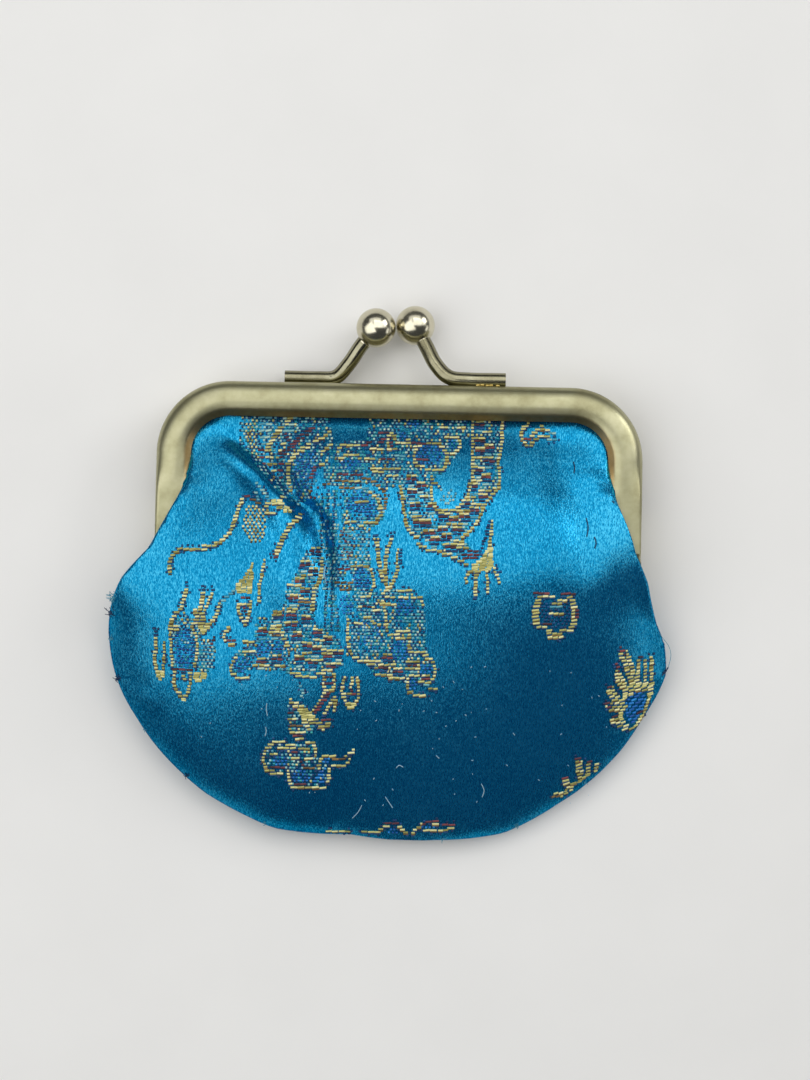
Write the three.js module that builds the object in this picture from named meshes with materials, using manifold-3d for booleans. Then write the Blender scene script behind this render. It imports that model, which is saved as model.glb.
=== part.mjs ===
// A small kiss lock coin purse of brocade, lying on its back.
// Units are millimetres. +X is the purse's right, +Y runs up to the ball clasp and +Z is up, out of
// the front of the purse. The drawing origin is the middle of the metal frame's top edge, on the
// table; the last lines move the finished purse so that it stands centred over (0, 0, 0).
import * as THREE from "three";
import { mergeVertices } from "three/addons/utils/BufferGeometryUtils.js";
import Module from "manifold-3d";

const wasm = await Module();
wasm.setup();

// Metal frame
const FRAME_WIDTH = 85; // outside, a stock size of purse frame
const FRAME_CORNER = 12.8; // outside radius of the two upper corners
const CHANNEL_DEPTH = 5.6; // from the outer edge to the lip that grips the cloth
const LEAF_THICKNESS = 5.2; // one leaf, flat where the two meet and rounded outside
const LEAF_GAP = 0.4; // between the two closed leaves
const SHEET = 0.7; // thickness of the folded metal sheet
const EDGE_ROUND = 0.9; // outer edge of the flat face
const SIDE_HEIGHT = 2.2; // where the rounded front starts, above the flat face
const CROWN_INSET = 2.8; // highest line of the rounded front, in from the outer edge
const LIP_HEIGHT = 3.1; // edge of the turned-in grip lip, above the flat face
const CHANNEL_END_Y = -17; // the folded channel stops here on both legs
const LEG_TAPER = 0.84; // the channel is this much shallower at the end of a leg
const CORNER_STEPS = 9;
const SECTION_STEPS = 2;
const SAME_POINT = 1e-6;
const PURSE_THICKNESS = 2 * LEAF_THICKNESS + LEAF_GAP;
const MID_Z = PURSE_THICKNESS / 2;
const HALF_WIDTH = FRAME_WIDTH / 2;
const CORNER_X = HALF_WIDTH - FRAME_CORNER;

// Hinge arms, the flat ends of the two legs
const ARM_WIDTH = 4.3;
const ARM_TIP_WIDTH = 2.6;
const ARM_CLEAR = 0.5; // cloth inside an arm stays flat this far past its inner side
const ARM_INSET = 0.1; // the arm's flat sits this far under the rounded front
const ARM_OVERLAP = 0.6; // how far the arm runs up inside the channel's end
const STRIP_END_Y = -29;
const HINGE_Y = -34;
const EAR_RADIUS = 2.6;
const EAR_STEP = 1.2; // the back leaf's ear lies this far inside the front leaf's
const JOGGLE_Y = -30.5; // where the back leaf's arm steps inwards
const RIVET_RADIUS = 0.9;
const RIVET_HEAD_RADIUS = 1.7;
const RIVET_HEAD = 0.8;
const RIVET_DOME = 0.7; // share of the head's radius that is flat on top
const RUNNING_GAP = 0.3;
const ROUND_SIDES = 16;

// Ball clasp: a bent rod soldered along each leaf's top edge, with a ball on its end
const ROD_RADIUS = 1.2;
const ROD_SIDES = 10;
const ROD_STEPS = 16;
const BALL_RADIUS = 3.25;
const BALL_SIDES = 18;
const BALL_RINGS = 12;
const FOOT_Y = 1.0; // axis of the rod's foot, a little sunk into the frame's edge
const FOOT_RISE = 1.9; // height of the foot's axis above the leaf's flat face
const BALL_STAGGER = 0.82; // each ball leans past the middle, so that the two snap past each other
const CLASP_RODS = {
  front: [
    { x: 18.3, y: FOOT_Y, lean: 0 },
    { x: 12, y: FOOT_Y, lean: 0 },
    { x: 8.2, y: 1.5, lean: 0.05 },
    { x: 5.9, y: 3.8, lean: 0.3 },
    { x: 4.2, y: 7.0, lean: 0.65 },
    { x: 2.3, y: 10.7, lean: 1 },
  ],
  back: [
    { x: -20.6, y: FOOT_Y, lean: 0 },
    { x: -15, y: FOOT_Y, lean: 0 },
    { x: -11.4, y: 1.2, lean: 0.05 },
    { x: -9.0, y: 3.9, lean: 0.35 },
    { x: -7.0, y: 7.0, lean: 0.7 },
    { x: -4.6, y: 10.0, lean: 1 },
  ],
};

// Cloth bag: two panels sewn together round a U-shaped seam
const CLOTH = 1.2;
const SEAM_GAP = 0.3;
const TUCK = 1.6; // the cloth's edge stops this far inside the frame's outer edge
const TUCK_RISE = 2.3; // outer face of the tucked cloth above the leaf's flat face
const FRONT_TUCK_Z = MID_Z + LEAF_GAP / 2 + TUCK_RISE;
const BACK_TUCK_Z = MID_Z - LEAF_GAP / 2 - TUCK_RISE;
const LIP_CLEAR = 0.4; // the cloth starts to swell this far past the lip
const BAG_HALF_WIDTH = 49;
const BAG_SHIFT = { top: -1.6, bottom: 2.4 }; // the bag's middle, which hangs askew
const BAG_WIDEST_Y = -44.5;
const BAG_BOTTOM_Y = -79.7;
const BOTTOM_FULLNESS = 1.95; // exponent of the rounded bottom, where 2 is an ellipse
const SHIFT_POWER = 3; // the middle drifts mostly near the bottom
const TUCKED_ROWS = [-TUCK, -3.4, -CHANNEL_DEPTH, -7.4, -9.6, -11.6];
const BOTTOM_ROW_ANGLES = [9, 18, 27, 36, 45, 53, 61, 68, 75, 81, 86];
const SEAM_Z = { top: 5.4, bottom: 4.2 };
const COLUMNS = { front: 32, back: 18 };
const SLOPE_STEP = 0.2; // span over which the cloth's slope is taken
const COLUMN_CROWDING = 0.35; // draws the columns towards the edges, where the cloth turns

// Edge of each panel from the frame's channel down to the seam: its middle, half width and height
const FRONT_EDGE = [
  { y: -13.4, middle: 0, half: 40.9, z: FRONT_TUCK_Z }, // last of the cloth in the channel
  { y: -15.2, middle: 0, half: 39.0, z: FRONT_TUCK_Z },
  { y: -16.9, middle: 0, half: 36.9, z: 8.1 }, // slips out past the end of the lip
  { y: -18.4, middle: 0, half: 37.1, z: 10.6 },
  { y: -20.2, middle: 0, half: 38.2, z: 12.6 }, // climbs over the flat arm
  { y: -24, middle: -0.2, half: 40.7, z: 13.0 },
  { y: -28, middle: -0.6, half: 43.0, z: 12.9 },
  { y: -32.5, middle: -1.6, half: 45.1, z: 12.3 },
  { y: -36.8, middle: -2.3, half: 46.9, z: 10.2 },
  { y: -41, middle: -2.1, half: 48.3, z: 7.2 },
  { y: BAG_WIDEST_Y, middle: BAG_SHIFT.top, half: BAG_HALF_WIDTH, z: SEAM_Z.top },
];
const BACK_EDGE = [
  { y: -13.4, middle: 0, half: 40.9, z: BACK_TUCK_Z },
  { y: -15.2, middle: 0, half: 40.2, z: BACK_TUCK_Z },
  { y: -16.9, middle: 0, half: 39.7, z: BACK_TUCK_Z },
  { y: -18.4, middle: 0, half: 39.6, z: 2.4 },
  { y: -20.2, middle: 0, half: 39.7, z: 1.9 },
  { y: -24, middle: 0, half: 39.8, z: 1.3 }, // lies inside the back leaf's arm
  { y: -28, middle: 0, half: 39.8, z: 1.2 },
  { y: -32.5, middle: 0, half: 39.7, z: 1.2 },
  { y: -36.8, middle: -0.2, half: 41.2, z: 1.5 },
  { y: -41, middle: -1.8, half: 46.6, z: 3.9 },
  { y: BAG_WIDEST_Y, middle: BAG_SHIFT.top, half: BAG_HALF_WIDTH, z: SEAM_Z.top - SEAM_GAP },
];

// Height of each panel's outer face down its middle
const FRONT_MIDDLE = [
  { y: -CHANNEL_DEPTH, z: FRONT_TUCK_Z },
  { y: -8, z: 9.1 },
  { y: -12, z: 11.6 },
  { y: -18, z: 14.6 },
  { y: -25, z: 16.8 },
  { y: -33, z: 18.0 },
  { y: -42, z: 17.9 },
  { y: -52, z: 16.2 },
  { y: -62, z: 13.3 },
  { y: -70, z: 10.2 },
  { y: -76, z: 7.0 },
  { y: BAG_BOTTOM_Y, z: SEAM_Z.bottom },
];
const BACK_MIDDLE = [
  { y: -CHANNEL_DEPTH, z: BACK_TUCK_Z },
  { y: -8, z: 2.1 },
  { y: -12, z: 0.8 },
  { y: -18, z: 0 },
  { y: -66, z: 0 },
  { y: -72, z: 0.6 },
  { y: -76, z: 1.9 },
  { y: BAG_BOTTOM_Y, z: SEAM_Z.bottom - SEAM_GAP },
];
const FRONT_CROWN = 3.2; // how squarely the front swells from its edge
const EDGE_REACH = [-7, -4.5, -2, 0, 2, 4.5, 7]; // stretch along the edge that the swell evens out
const EDGE_GRIP = 14; // how closely the true edge height keeps to the edge
const FOLD_FADE = 4; // how soon a fold reaches its full depth inside the edge
const BACK_TURN_WIDTH = 12; // width of the back panel's turned-up border

// Valleys pressed into the front panel: a line, its half width and its depth at each end
const FRONT_FOLDS = [
  { from: [-30, -8.5], to: [-17.2, -23.5], half: 5.2, depthFrom: 0.5, depthTo: 3.2 },
  { from: [-17.2, -23.5], to: [-11.5, -46], half: 6.5, depthFrom: 3.2, depthTo: 0 },
  { from: [28.5, -10], to: [33, -29], half: 5.5, depthFrom: 0.4, depthTo: 0.8 },
];

// Finishes
const metal = new THREE.MeshStandardMaterial({ color: "#b5ab86", roughness: 0.32, metalness: 1 });
const rivetMetal = new THREE.MeshStandardMaterial({ color: "#9a8f69", roughness: 0.4, metalness: 1 });
const brocade = new THREE.MeshStandardMaterial({ color: "#0f7fb4", roughness: 0.45, metalness: 0 });

// A geometry as a solid that can be joined and cut.
function toSolid(geometry) {
  const bare = geometry.clone();
  bare.deleteAttribute("normal");
  bare.deleteAttribute("uv");
  const merged = mergeVertices(bare, 1e-4);
  return new wasm.Manifold(
    new wasm.Mesh({
      numProp: 3,
      vertProperties: merged.attributes.position.array,
      triVerts: new Uint32Array(merged.index.array),
    }),
  );
}

function toGeometry(solid) {
  const mesh = solid.getMesh();
  return new THREE.BufferGeometry()
    .setAttribute("position", new THREE.BufferAttribute(mesh.vertProperties, 3))
    .setIndex(new THREE.BufferAttribute(mesh.triVerts, 1));
}

// Closed skin over a run of loops with the same number of points, with a flat cap on each end loop.
function loft(loops, capFaces) {
  const size = loops[0].length;
  const index = [];
  loops.slice(1).forEach((_, i) => {
    for (let j = 0; j < size; j++) {
      const a = i * size + j;
      const b = i * size + ((j + 1) % size);
      index.push(a, a + size, b, b, a + size, b + size);
    }
  });
  const last = (loops.length - 1) * size;
  capFaces.forEach(([a, b, c]) => index.push(a, b, c, last + a, last + c, last + b));
  return new THREE.BufferGeometry()
    .setAttribute("position", new THREE.Float32BufferAttribute(loops.flat(2), 3))
    .setIndex(index);
}

// Section of the folded channel: x runs in from the frame's outer edge, y out from the flat face.
function channelSection() {
  const quarter = Math.PI / 2;
  const frontRise = LEAF_THICKNESS - SIDE_HEIGHT;
  const lipRise = LEAF_THICKNESS - LIP_HEIGHT;
  const lipRun = CHANNEL_DEPTH - CROWN_INSET;
  const shape = new THREE.Shape();
  shape.moveTo(CHANNEL_DEPTH, 0);
  shape.lineTo(EDGE_ROUND, 0);
  shape.absarc(EDGE_ROUND, EDGE_ROUND, EDGE_ROUND, -quarter, 2 * quarter, true);
  shape.absellipse(CROWN_INSET, SIDE_HEIGHT, CROWN_INSET, frontRise, 2 * quarter, quarter, true);
  shape.absellipse(CROWN_INSET, LIP_HEIGHT, lipRun, lipRise, quarter, 0, true);
  shape.absellipse(CROWN_INSET, LIP_HEIGHT, lipRun - SHEET, lipRise - SHEET, 0, quarter, false);
  shape.absellipse(
    CROWN_INSET,
    SIDE_HEIGHT,
    CROWN_INSET - SHEET,
    frontRise - SHEET,
    quarter,
    2 * quarter,
    false,
  );
  shape.lineTo(SHEET, SHEET);
  shape.lineTo(CHANNEL_DEPTH, SHEET);
  const points = shape.extractPoints(SECTION_STEPS).shape;
  const distinct = points.filter((p, i) => p.distanceTo(points.at(i - 1)) > SAME_POINT);
  return THREE.ShapeUtils.isClockWise(distinct) ? distinct.reverse() : distinct;
}

// Stations along the frame's outer edge, from the left leg's end over the top to the right leg's end.
function frameStations() {
  const stations = [{ x: -HALF_WIDTH, y: CHANNEL_END_Y, inX: LEG_TAPER, inY: 0 }];
  [-1, 1].forEach((side) => {
    for (let i = 0; i <= CORNER_STEPS; i++) {
      const turn = ((Math.PI / 2) * i) / CORNER_STEPS;
      const angle = side < 0 ? Math.PI - turn : Math.PI / 2 - turn;
      stations.push({
        x: side * CORNER_X + FRAME_CORNER * Math.cos(angle),
        y: -FRAME_CORNER + FRAME_CORNER * Math.sin(angle),
        inX: -Math.cos(angle),
        inY: -Math.sin(angle),
      });
    }
  });
  stations.push({ x: HALF_WIDTH, y: CHANNEL_END_Y, inX: -LEG_TAPER, inY: 0 });
  return stations;
}

// The channel of one leaf, with its flat face at z = 0 and its rounded front towards +Z.
function leafChannel() {
  const section = channelSection();
  const caps = THREE.ShapeUtils.triangulateShape(section, []);
  const loops = frameStations().map((s) =>
    section.map((p) => [s.x + s.inX * p.x, s.y + s.inY * p.x, p.y]),
  );
  return toSolid(loft(loops, caps));
}

function slab(outline, thickness) {
  const shape = new THREE.Shape(outline.map(([x, y]) => new THREE.Vector2(x, y)));
  return new THREE.ExtrudeGeometry(shape, { depth: thickness, bevelEnabled: false });
}

function roundAlongX(radius, length, x, y, z) {
  return new THREE.CylinderGeometry(radius, radius, length, ROUND_SIDES)
    .rotateZ(Math.PI / 2)
    .translate(x, y, z);
}

// Right hinge arm of one leaf: a flat strip, a rim along its outer side and a drilled ear. The rim is
// a folded strip seen from the front, trimmed to the arm's outline seen from the side.
function hingeArm(earStep) {
  const top = CHANNEL_END_Y + ARM_OVERLAP;
  const flatTop = LEAF_THICKNESS - ARM_INSET;
  const outer = HALF_WIDTH - ARM_INSET;
  const strip = slab(
    [
      [outer - ARM_WIDTH, top],
      [outer - ARM_TIP_WIDTH, STRIP_END_Y],
      [outer, STRIP_END_Y],
      [outer, top],
    ],
    SHEET,
  ).translate(0, 0, flatTop - SHEET);
  const fold = slab(
    [
      [outer - SHEET, top],
      [outer - SHEET, JOGGLE_Y + earStep],
      [outer - SHEET - earStep, JOGGLE_Y],
      [outer - SHEET - earStep, HINGE_Y - 2 * EAR_RADIUS],
      [outer - earStep, HINGE_Y - 2 * EAR_RADIUS],
      [outer - earStep, JOGGLE_Y],
      [outer, JOGGLE_Y + earStep],
      [outer, top],
    ],
    LEAF_THICKNESS + 2 * EAR_RADIUS,
  ).translate(0, 0, -2 * EAR_RADIUS);
  const hingeZ = -LEAF_GAP / 2;
  const side = slab(
    [
      [top, 0],
      [HINGE_Y, 0],
      [HINGE_Y, hingeZ + EAR_RADIUS],
      [STRIP_END_Y, flatTop],
      [top, flatTop],
    ],
    FRAME_WIDTH,
  )
    .rotateX(Math.PI / 2)
    .rotateZ(Math.PI / 2);
  const ear = roundAlongX(EAR_RADIUS, FRAME_WIDTH, HALF_WIDTH, HINGE_Y, hingeZ);
  const hole = roundAlongX(RIVET_RADIUS + RUNNING_GAP, FRAME_WIDTH, HALF_WIDTH, HINGE_Y, hingeZ);
  const outline = toSolid(side).add(toSolid(ear)).subtract(toSolid(hole));
  return toSolid(fold).intersect(outline).add(toSolid(strip));
}

// One clasp rod and its ball, soldered to the leaf, in the leaf's own height.
function claspRod(rows) {
  const ballZ = -LEAF_GAP / 2 - BALL_STAGGER;
  const points = rows.map(
    (row) => new THREE.Vector3(row.x, row.y, FOOT_RISE + (ballZ - FOOT_RISE) * row.lean),
  );
  const path = new THREE.CatmullRomCurve3(points, false, "centripetal");
  const round = new THREE.Shape().absarc(0, 0, ROD_RADIUS, 0, 2 * Math.PI);
  const rod = new THREE.ExtrudeGeometry(round, {
    extrudePath: path,
    steps: ROD_STEPS,
    curveSegments: ROD_SIDES / 2,
  });
  const end = points.at(-1);
  const ball = new THREE.SphereGeometry(BALL_RADIUS, BALL_SIDES, BALL_RINGS).translate(end.x, end.y, end.z);
  return toSolid(rod).add(toSolid(ball));
}

// A whole leaf: channel, two arms and clasp rod in one piece of metal, front face towards +Z.
function leaf(name, rows, earStep) {
  const arm = hingeArm(earStep);
  const solid = leafChannel().add(arm).add(arm.mirror([1, 0, 0])).add(claspRod(rows));
  const mesh = new THREE.Mesh(toGeometry(solid), metal);
  mesh.name = name;
  return mesh;
}

// The back leaf is drawn front up, mirrored left to right, and turned over about Y.
function mirrored(rows) {
  return rows.map((row) => ({ ...row, x: -row.x }));
}

function rivet(name, side) {
  const inner = HALF_WIDTH - ARM_INSET - EAR_STEP - SHEET - RUNNING_GAP;
  const outer = HALF_WIDTH - ARM_INSET + RUNNING_GAP;
  const profile = [
    [0, inner - RIVET_HEAD],
    [RIVET_HEAD_RADIUS * RIVET_DOME, inner - RIVET_HEAD],
    [RIVET_HEAD_RADIUS, inner - RIVET_HEAD / 2],
    [RIVET_HEAD_RADIUS, inner],
    [RIVET_RADIUS, inner],
    [RIVET_RADIUS, outer],
    [RIVET_HEAD_RADIUS, outer],
    [RIVET_HEAD_RADIUS, outer + RIVET_HEAD / 2],
    [RIVET_HEAD_RADIUS * RIVET_DOME, outer + RIVET_HEAD],
    [0, outer + RIVET_HEAD],
  ].map(([radius, along]) => new THREE.Vector2(radius, along));
  const mesh = new THREE.Mesh(new THREE.LatheGeometry(profile, ROUND_SIDES), rivetMetal);
  mesh.rotation.z = -side * (Math.PI / 2);
  mesh.position.set(0, HINGE_Y, MID_Z);
  mesh.name = name;
  return mesh;
}

// Smooth curve through a table's rows, read at height y.
function readTable(rows, key, y) {
  const ends = [rows[0], rows.at(-1)];
  if (y >= ends[0].y) return ends[0][key];
  if (y <= ends[1].y) return ends[1][key];
  const i = rows.findIndex((row) => row.y <= y);
  const slope = (k) => {
    const a = rows[Math.max(k - 1, 0)];
    const b = rows[Math.min(k + 1, rows.length - 1)];
    return (b[key] - a[key]) / (b.y - a.y);
  };
  const [a, b] = [rows[i - 1], rows[i]];
  const span = b.y - a.y;
  const t = (y - a.y) / span;
  const flat = a[key] === b[key];
  const [m0, m1] = flat ? [0, 0] : [slope(i - 1) * span, slope(i) * span];
  return (
    (2 * t ** 3 - 3 * t ** 2 + 1) * a[key] +
    (t ** 3 - 2 * t ** 2 + t) * m0 +
    (3 * t ** 2 - 2 * t ** 3) * b[key] +
    (t ** 3 - t ** 2) * m1
  );
}

function smooth(t) {
  const c = THREE.MathUtils.clamp(t, 0, 1);
  return c * c * (3 - 2 * c);
}

// Share of the way from the bag's widest height down to its bottom.
function downShare(y) {
  return THREE.MathUtils.clamp((BAG_WIDEST_Y - y) / (BAG_WIDEST_Y - BAG_BOTTOM_Y), 0, 1);
}

function middleX(y, edge) {
  if (y >= BAG_WIDEST_Y) return readTable(edge, "middle", y);
  return BAG_SHIFT.top + (BAG_SHIFT.bottom - BAG_SHIFT.top) * downShare(y) ** SHIFT_POWER;
}

// Half width of a rounded corner of the frame, inset from its outer edge.
function frameHalf(y, inset) {
  const radius = FRAME_CORNER - inset;
  const above = Math.max(y + FRAME_CORNER, 0);
  return CORNER_X + Math.sqrt(Math.max(radius ** 2 - above ** 2, 0));
}

function halfWidth(y, edge) {
  if (y >= edge[0].y) return frameHalf(y, TUCK);
  if (y >= BAG_WIDEST_Y) return readTable(edge, "half", y);
  return BAG_HALF_WIDTH * (1 - downShare(y) ** BOTTOM_FULLNESS) ** (1 / BOTTOM_FULLNESS);
}

// How far from the middle the cloth is free of the frame, at height y.
function freeHalf(y, edge, insideArm) {
  const half = halfWidth(y, edge);
  if (y > -CHANNEL_DEPTH) return 0;
  if (y > CHANNEL_END_Y) return Math.min(frameHalf(y, CHANNEL_DEPTH + LIP_CLEAR), half);
  const inArm = insideArm && y > HINGE_Y - EAR_RADIUS;
  return inArm ? Math.min(HALF_WIDTH - ARM_WIDTH - ARM_CLEAR, half) : half;
}

// Height of the surface that parts the front panel from the back one.
function seamHeight(y) {
  return SEAM_Z.top + (SEAM_Z.bottom - SEAM_Z.top) * downShare(y);
}

function edgeHeight(y, edge, seamDrop) {
  return y >= BAG_WIDEST_Y ? readTable(edge, "z", y) : seamHeight(y) - seamDrop;
}

// Depth that the folds take out of the front panel at a point.
function foldDepth(x, y) {
  const depths = FRONT_FOLDS.map(({ from, to, half, depthFrom, depthTo }) => {
    const [dx, dy] = [to[0] - from[0], to[1] - from[1]];
    const along = ((x - from[0]) * dx + (y - from[1]) * dy) / (dx * dx + dy * dy);
    const t = THREE.MathUtils.clamp(along, 0, 1);
    const away = Math.hypot(x - from[0] - t * dx, y - from[1] - t * dy);
    return (depthFrom + (depthTo - depthFrom) * t) * smooth(1 - away / half);
  });
  return Math.max(0, ...depths);
}

// The panel swells from an edge height evened out along the side. The true edge holds near itself.
function frontHeight(x, y) {
  const free = freeHalf(y, FRONT_EDGE, false);
  const out = free > 0 ? Math.min(Math.abs(x - middleX(y, FRONT_EDGE)) / free, 1) : 1;
  const edge = edgeHeight(y, FRONT_EDGE, 0);
  const reaches = EDGE_REACH.map((reach) => edgeHeight(y + reach, FRONT_EDGE, 0));
  const even = reaches.reduce((sum, z) => sum + z, 0) / reaches.length;
  const swell = 1 - out ** FRONT_CROWN;
  const middle = readTable(FRONT_MIDDLE, "z", y);
  const height = even + (middle - even) * swell + (edge - even) * out ** EDGE_GRIP;
  return height - foldDepth(x, y) * smooth(FOLD_FADE * swell);
}

function backHeight(x, y) {
  const free = freeHalf(y, BACK_EDGE, true);
  const edge = edgeHeight(y, BACK_EDGE, SEAM_GAP);
  const inside = (free - Math.abs(x - middleX(y, BACK_EDGE))) / BACK_TURN_WIDTH;
  const flat = 1 - (1 - THREE.MathUtils.clamp(inside, 0, 1)) ** 2;
  return edge + (readTable(BACK_MIDDLE, "z", y) - edge) * flat;
}

// Heights of the panel's rows, from the tucked top edge down to the bottom of the seam.
function panelRows(edge) {
  const sides = edge.map((row) => row.y);
  const bottom = BOTTOM_ROW_ANGLES.map(
    (degrees) =>
      BAG_WIDEST_Y + (BAG_BOTTOM_Y - BAG_WIDEST_Y) * Math.sin(THREE.MathUtils.degToRad(degrees)),
  );
  return [...TUCKED_ROWS, ...sides, ...bottom];
}

// A cloth panel: outer face from height(x, y), inner face one cloth thickness inside it.
function panel(name, edge, height, columns, facing) {
  const rows = panelRows(edge);
  const outer = [];
  const inner = [];
  rows.forEach((y) => {
    for (let j = 0; j <= columns; j++) {
      const even = (2 * j) / columns - 1;
      const share = even + COLUMN_CROWDING * Math.sin(Math.PI * even) / Math.PI;
      const x = middleX(y, edge) + share * halfWidth(y, edge);
      const z = height(x, y);
      const normal = new THREE.Vector3(
        (height(x - SLOPE_STEP, y) - height(x + SLOPE_STEP, y)) / (2 * SLOPE_STEP),
        (height(x, y - SLOPE_STEP) - height(x, y + SLOPE_STEP)) / (2 * SLOPE_STEP),
        1,
      ).normalize();
      const within = new THREE.Vector3(x, y, z).addScaledVector(normal, -facing * CLOTH);
      const seam = seamHeight(within.y) - (facing > 0 ? 0 : SEAM_GAP);
      const pastSeam = facing * (within.z - seam) < 0;
      outer.push([x, y, z]);
      inner.push([within.x, within.y, pastSeam ? seam : within.z]);
    }
  });
  return closedPanel(name, [...outer, ...inner], rows.length, columns, facing);
}

// Joins the two faces of a panel round their rim.
function closedPanel(name, points, rowCount, columns, facing) {
  const width = columns + 1;
  const count = rowCount * width;
  const at = (i, j) => i * width + j;
  const index = [];
  const quad = (a, b, c, d) => {
    const [p, q, r, s] = facing > 0 ? [a, b, c, d] : [d, c, b, a];
    index.push(p, q, r, p, r, s);
  };
  for (let i = 0; i < rowCount - 1; i++) {
    for (let j = 0; j < columns; j++) {
      const [a, b, c, d] = [at(i, j), at(i + 1, j), at(i + 1, j + 1), at(i, j + 1)];
      quad(a, b, c, d);
      quad(d + count, c + count, b + count, a + count);
    }
  }
  const rim = [];
  for (let i = 0; i < rowCount - 1; i++) rim.push(at(i, 0));
  for (let j = 0; j < columns; j++) rim.push(at(rowCount - 1, j));
  for (let i = rowCount - 1; i > 0; i--) rim.push(at(i, columns));
  for (let j = columns; j > 0; j--) rim.push(at(0, j));
  rim.forEach((a, k) => {
    const b = rim[(k + 1) % rim.length];
    quad(b, a, a + count, b + count);
  });
  const geometry = new THREE.BufferGeometry()
    .setAttribute("position", new THREE.Float32BufferAttribute(points.flat(), 3))
    .setIndex(index);
  const mesh = new THREE.Mesh(geometry, brocade);
  mesh.name = name;
  return mesh;
}

const frontLeaf = leaf("frame_front", CLASP_RODS.front, 0);
frontLeaf.position.z = MID_Z + LEAF_GAP / 2;

const backLeaf = leaf("frame_back", mirrored(CLASP_RODS.back), EAR_STEP);
backLeaf.rotation.y = Math.PI;
backLeaf.position.z = MID_Z - LEAF_GAP / 2;

const purse = new THREE.Group();
purse.add(
  frontLeaf,
  backLeaf,
  rivet("hinge_rivet_left", -1),
  rivet("hinge_rivet_right", 1),
  panel("bag_front_panel", FRONT_EDGE, frontHeight, COLUMNS.front, 1),
  panel("bag_back_panel", BACK_EDGE, backHeight, COLUMNS.back, -1),
);

// Stands the purse on the table, centred over the origin.
const box = new THREE.Box3().setFromObject(purse);
const centre = box.getCenter(new THREE.Vector3());
purse.position.set(-centre.x, -centre.y, -box.min.z);

const part = new THREE.Group();
part.add(purse);

export default part;
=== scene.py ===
# %% [markdown]
# A kiss lock purse: a small bag of blue dragon brocade in a brass frame that snaps shut with two
# balls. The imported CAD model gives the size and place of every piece. This script adds the looks:
# smooth metal, the cloth's folds, the woven figures, loose threads, and the finish of each surface.
# All sizes below are millimetres, measured from the middle of the frame's top edge: across to the
# right, down towards the bag's bottom, and height above the table.

import math

import bmesh
import bpy
import numpy as np
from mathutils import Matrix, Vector, noise
from mathutils.bvhtree import BVHTree


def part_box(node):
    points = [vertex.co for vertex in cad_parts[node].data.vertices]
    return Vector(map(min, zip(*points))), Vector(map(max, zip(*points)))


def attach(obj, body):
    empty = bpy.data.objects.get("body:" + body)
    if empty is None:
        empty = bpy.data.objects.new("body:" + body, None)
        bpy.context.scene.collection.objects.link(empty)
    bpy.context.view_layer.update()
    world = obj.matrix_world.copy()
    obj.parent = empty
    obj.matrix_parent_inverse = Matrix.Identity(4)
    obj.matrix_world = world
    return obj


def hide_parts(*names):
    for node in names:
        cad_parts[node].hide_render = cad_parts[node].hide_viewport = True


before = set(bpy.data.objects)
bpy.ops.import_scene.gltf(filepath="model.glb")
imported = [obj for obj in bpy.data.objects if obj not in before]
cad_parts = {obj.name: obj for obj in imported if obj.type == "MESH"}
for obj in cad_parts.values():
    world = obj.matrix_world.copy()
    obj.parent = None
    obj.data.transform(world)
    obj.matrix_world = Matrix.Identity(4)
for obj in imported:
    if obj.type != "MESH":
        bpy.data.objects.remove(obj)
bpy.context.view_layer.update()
print("CAD nodes:", sorted(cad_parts))

# %% Sizes that everything else hangs on
MM = 0.001
BODY = "root"
TOP_TO_HINGE = 34.0
front_low, front_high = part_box("frame_front")
rivet_low, rivet_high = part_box("hinge_rivet_right")
MIDDLE_X = (front_low.x + front_high.x) / 2 / MM
TOP_Y = (rivet_low.y + rivet_high.y) / 2 / MM + TOP_TO_HINGE
HINGE_HEIGHT = (rivet_low.z + rivet_high.z) / 2 / MM
HALF_WIDTH = (front_high.x - front_low.x) / 2 / MM


def place(across, down, height=0.0):
    """A point in metres from millimetres across, down and above the table."""
    return Vector((MIDDLE_X + across, TOP_Y - down, height)) * MM


print(f"frame {2 * HALF_WIDTH:.1f} mm wide, hinge {HINGE_HEIGHT:.1f} mm above the table")

# %% [markdown]
# The camera looks straight down on the purse, because the photograph looks straight at its front.
# A long lens keeps the outline close to a drawing's. The small roll is the tilt of the purse in
# the picture.

# %% Camera
VIEW_HEIGHT = 188.2
VIEW_ACROSS = 1.24
VIEW_DOWN = 27.2
CAMERA_RISE = 400.0
FRONT_PLANE = 10.0
NEAR_CLIP = 10.0
CAMERA_ROLL = math.radians(1.15)
SENSOR = 36.0


def linked(name, data):
    """A new object at the origin that shows some data, in the scene."""
    made = bpy.data.objects.new(name, data)
    bpy.context.scene.collection.objects.link(made)
    return made


camera = linked("camera", bpy.data.cameras.new("camera"))
camera.location = place(VIEW_ACROSS, VIEW_DOWN, CAMERA_RISE + FRONT_PLANE)
camera.rotation_euler = (0, 0, CAMERA_ROLL)
camera.data.sensor_width = SENSOR
camera.data.lens = SENSOR * CAMERA_RISE / VIEW_HEIGHT
camera.data.clip_start = NEAR_CLIP * MM
bpy.context.scene.camera = camera
print(f"camera lens {camera.data.lens:.1f} mm")

# %% [markdown]
# Node trees are long to write out, so one helper adds a node, sets it and links it. Colours are
# written as sRGB hex values, as a paint chart gives them, and one function makes them linear.

# %% Helpers for node trees and colours
def add_node(tree, kind, settings=None, inputs=None):
    """Adds a node. An input is a value, or the output socket of another node to link from."""
    node = tree.nodes.new(kind)
    for name, value in (settings or {}).items():
        setattr(node, name, value)
    for socket, source in (inputs or {}).items():
        if isinstance(source, bpy.types.NodeSocket):
            tree.links.new(source, node.inputs[socket])
        else:
            node.inputs[socket].default_value = source
    return node


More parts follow.
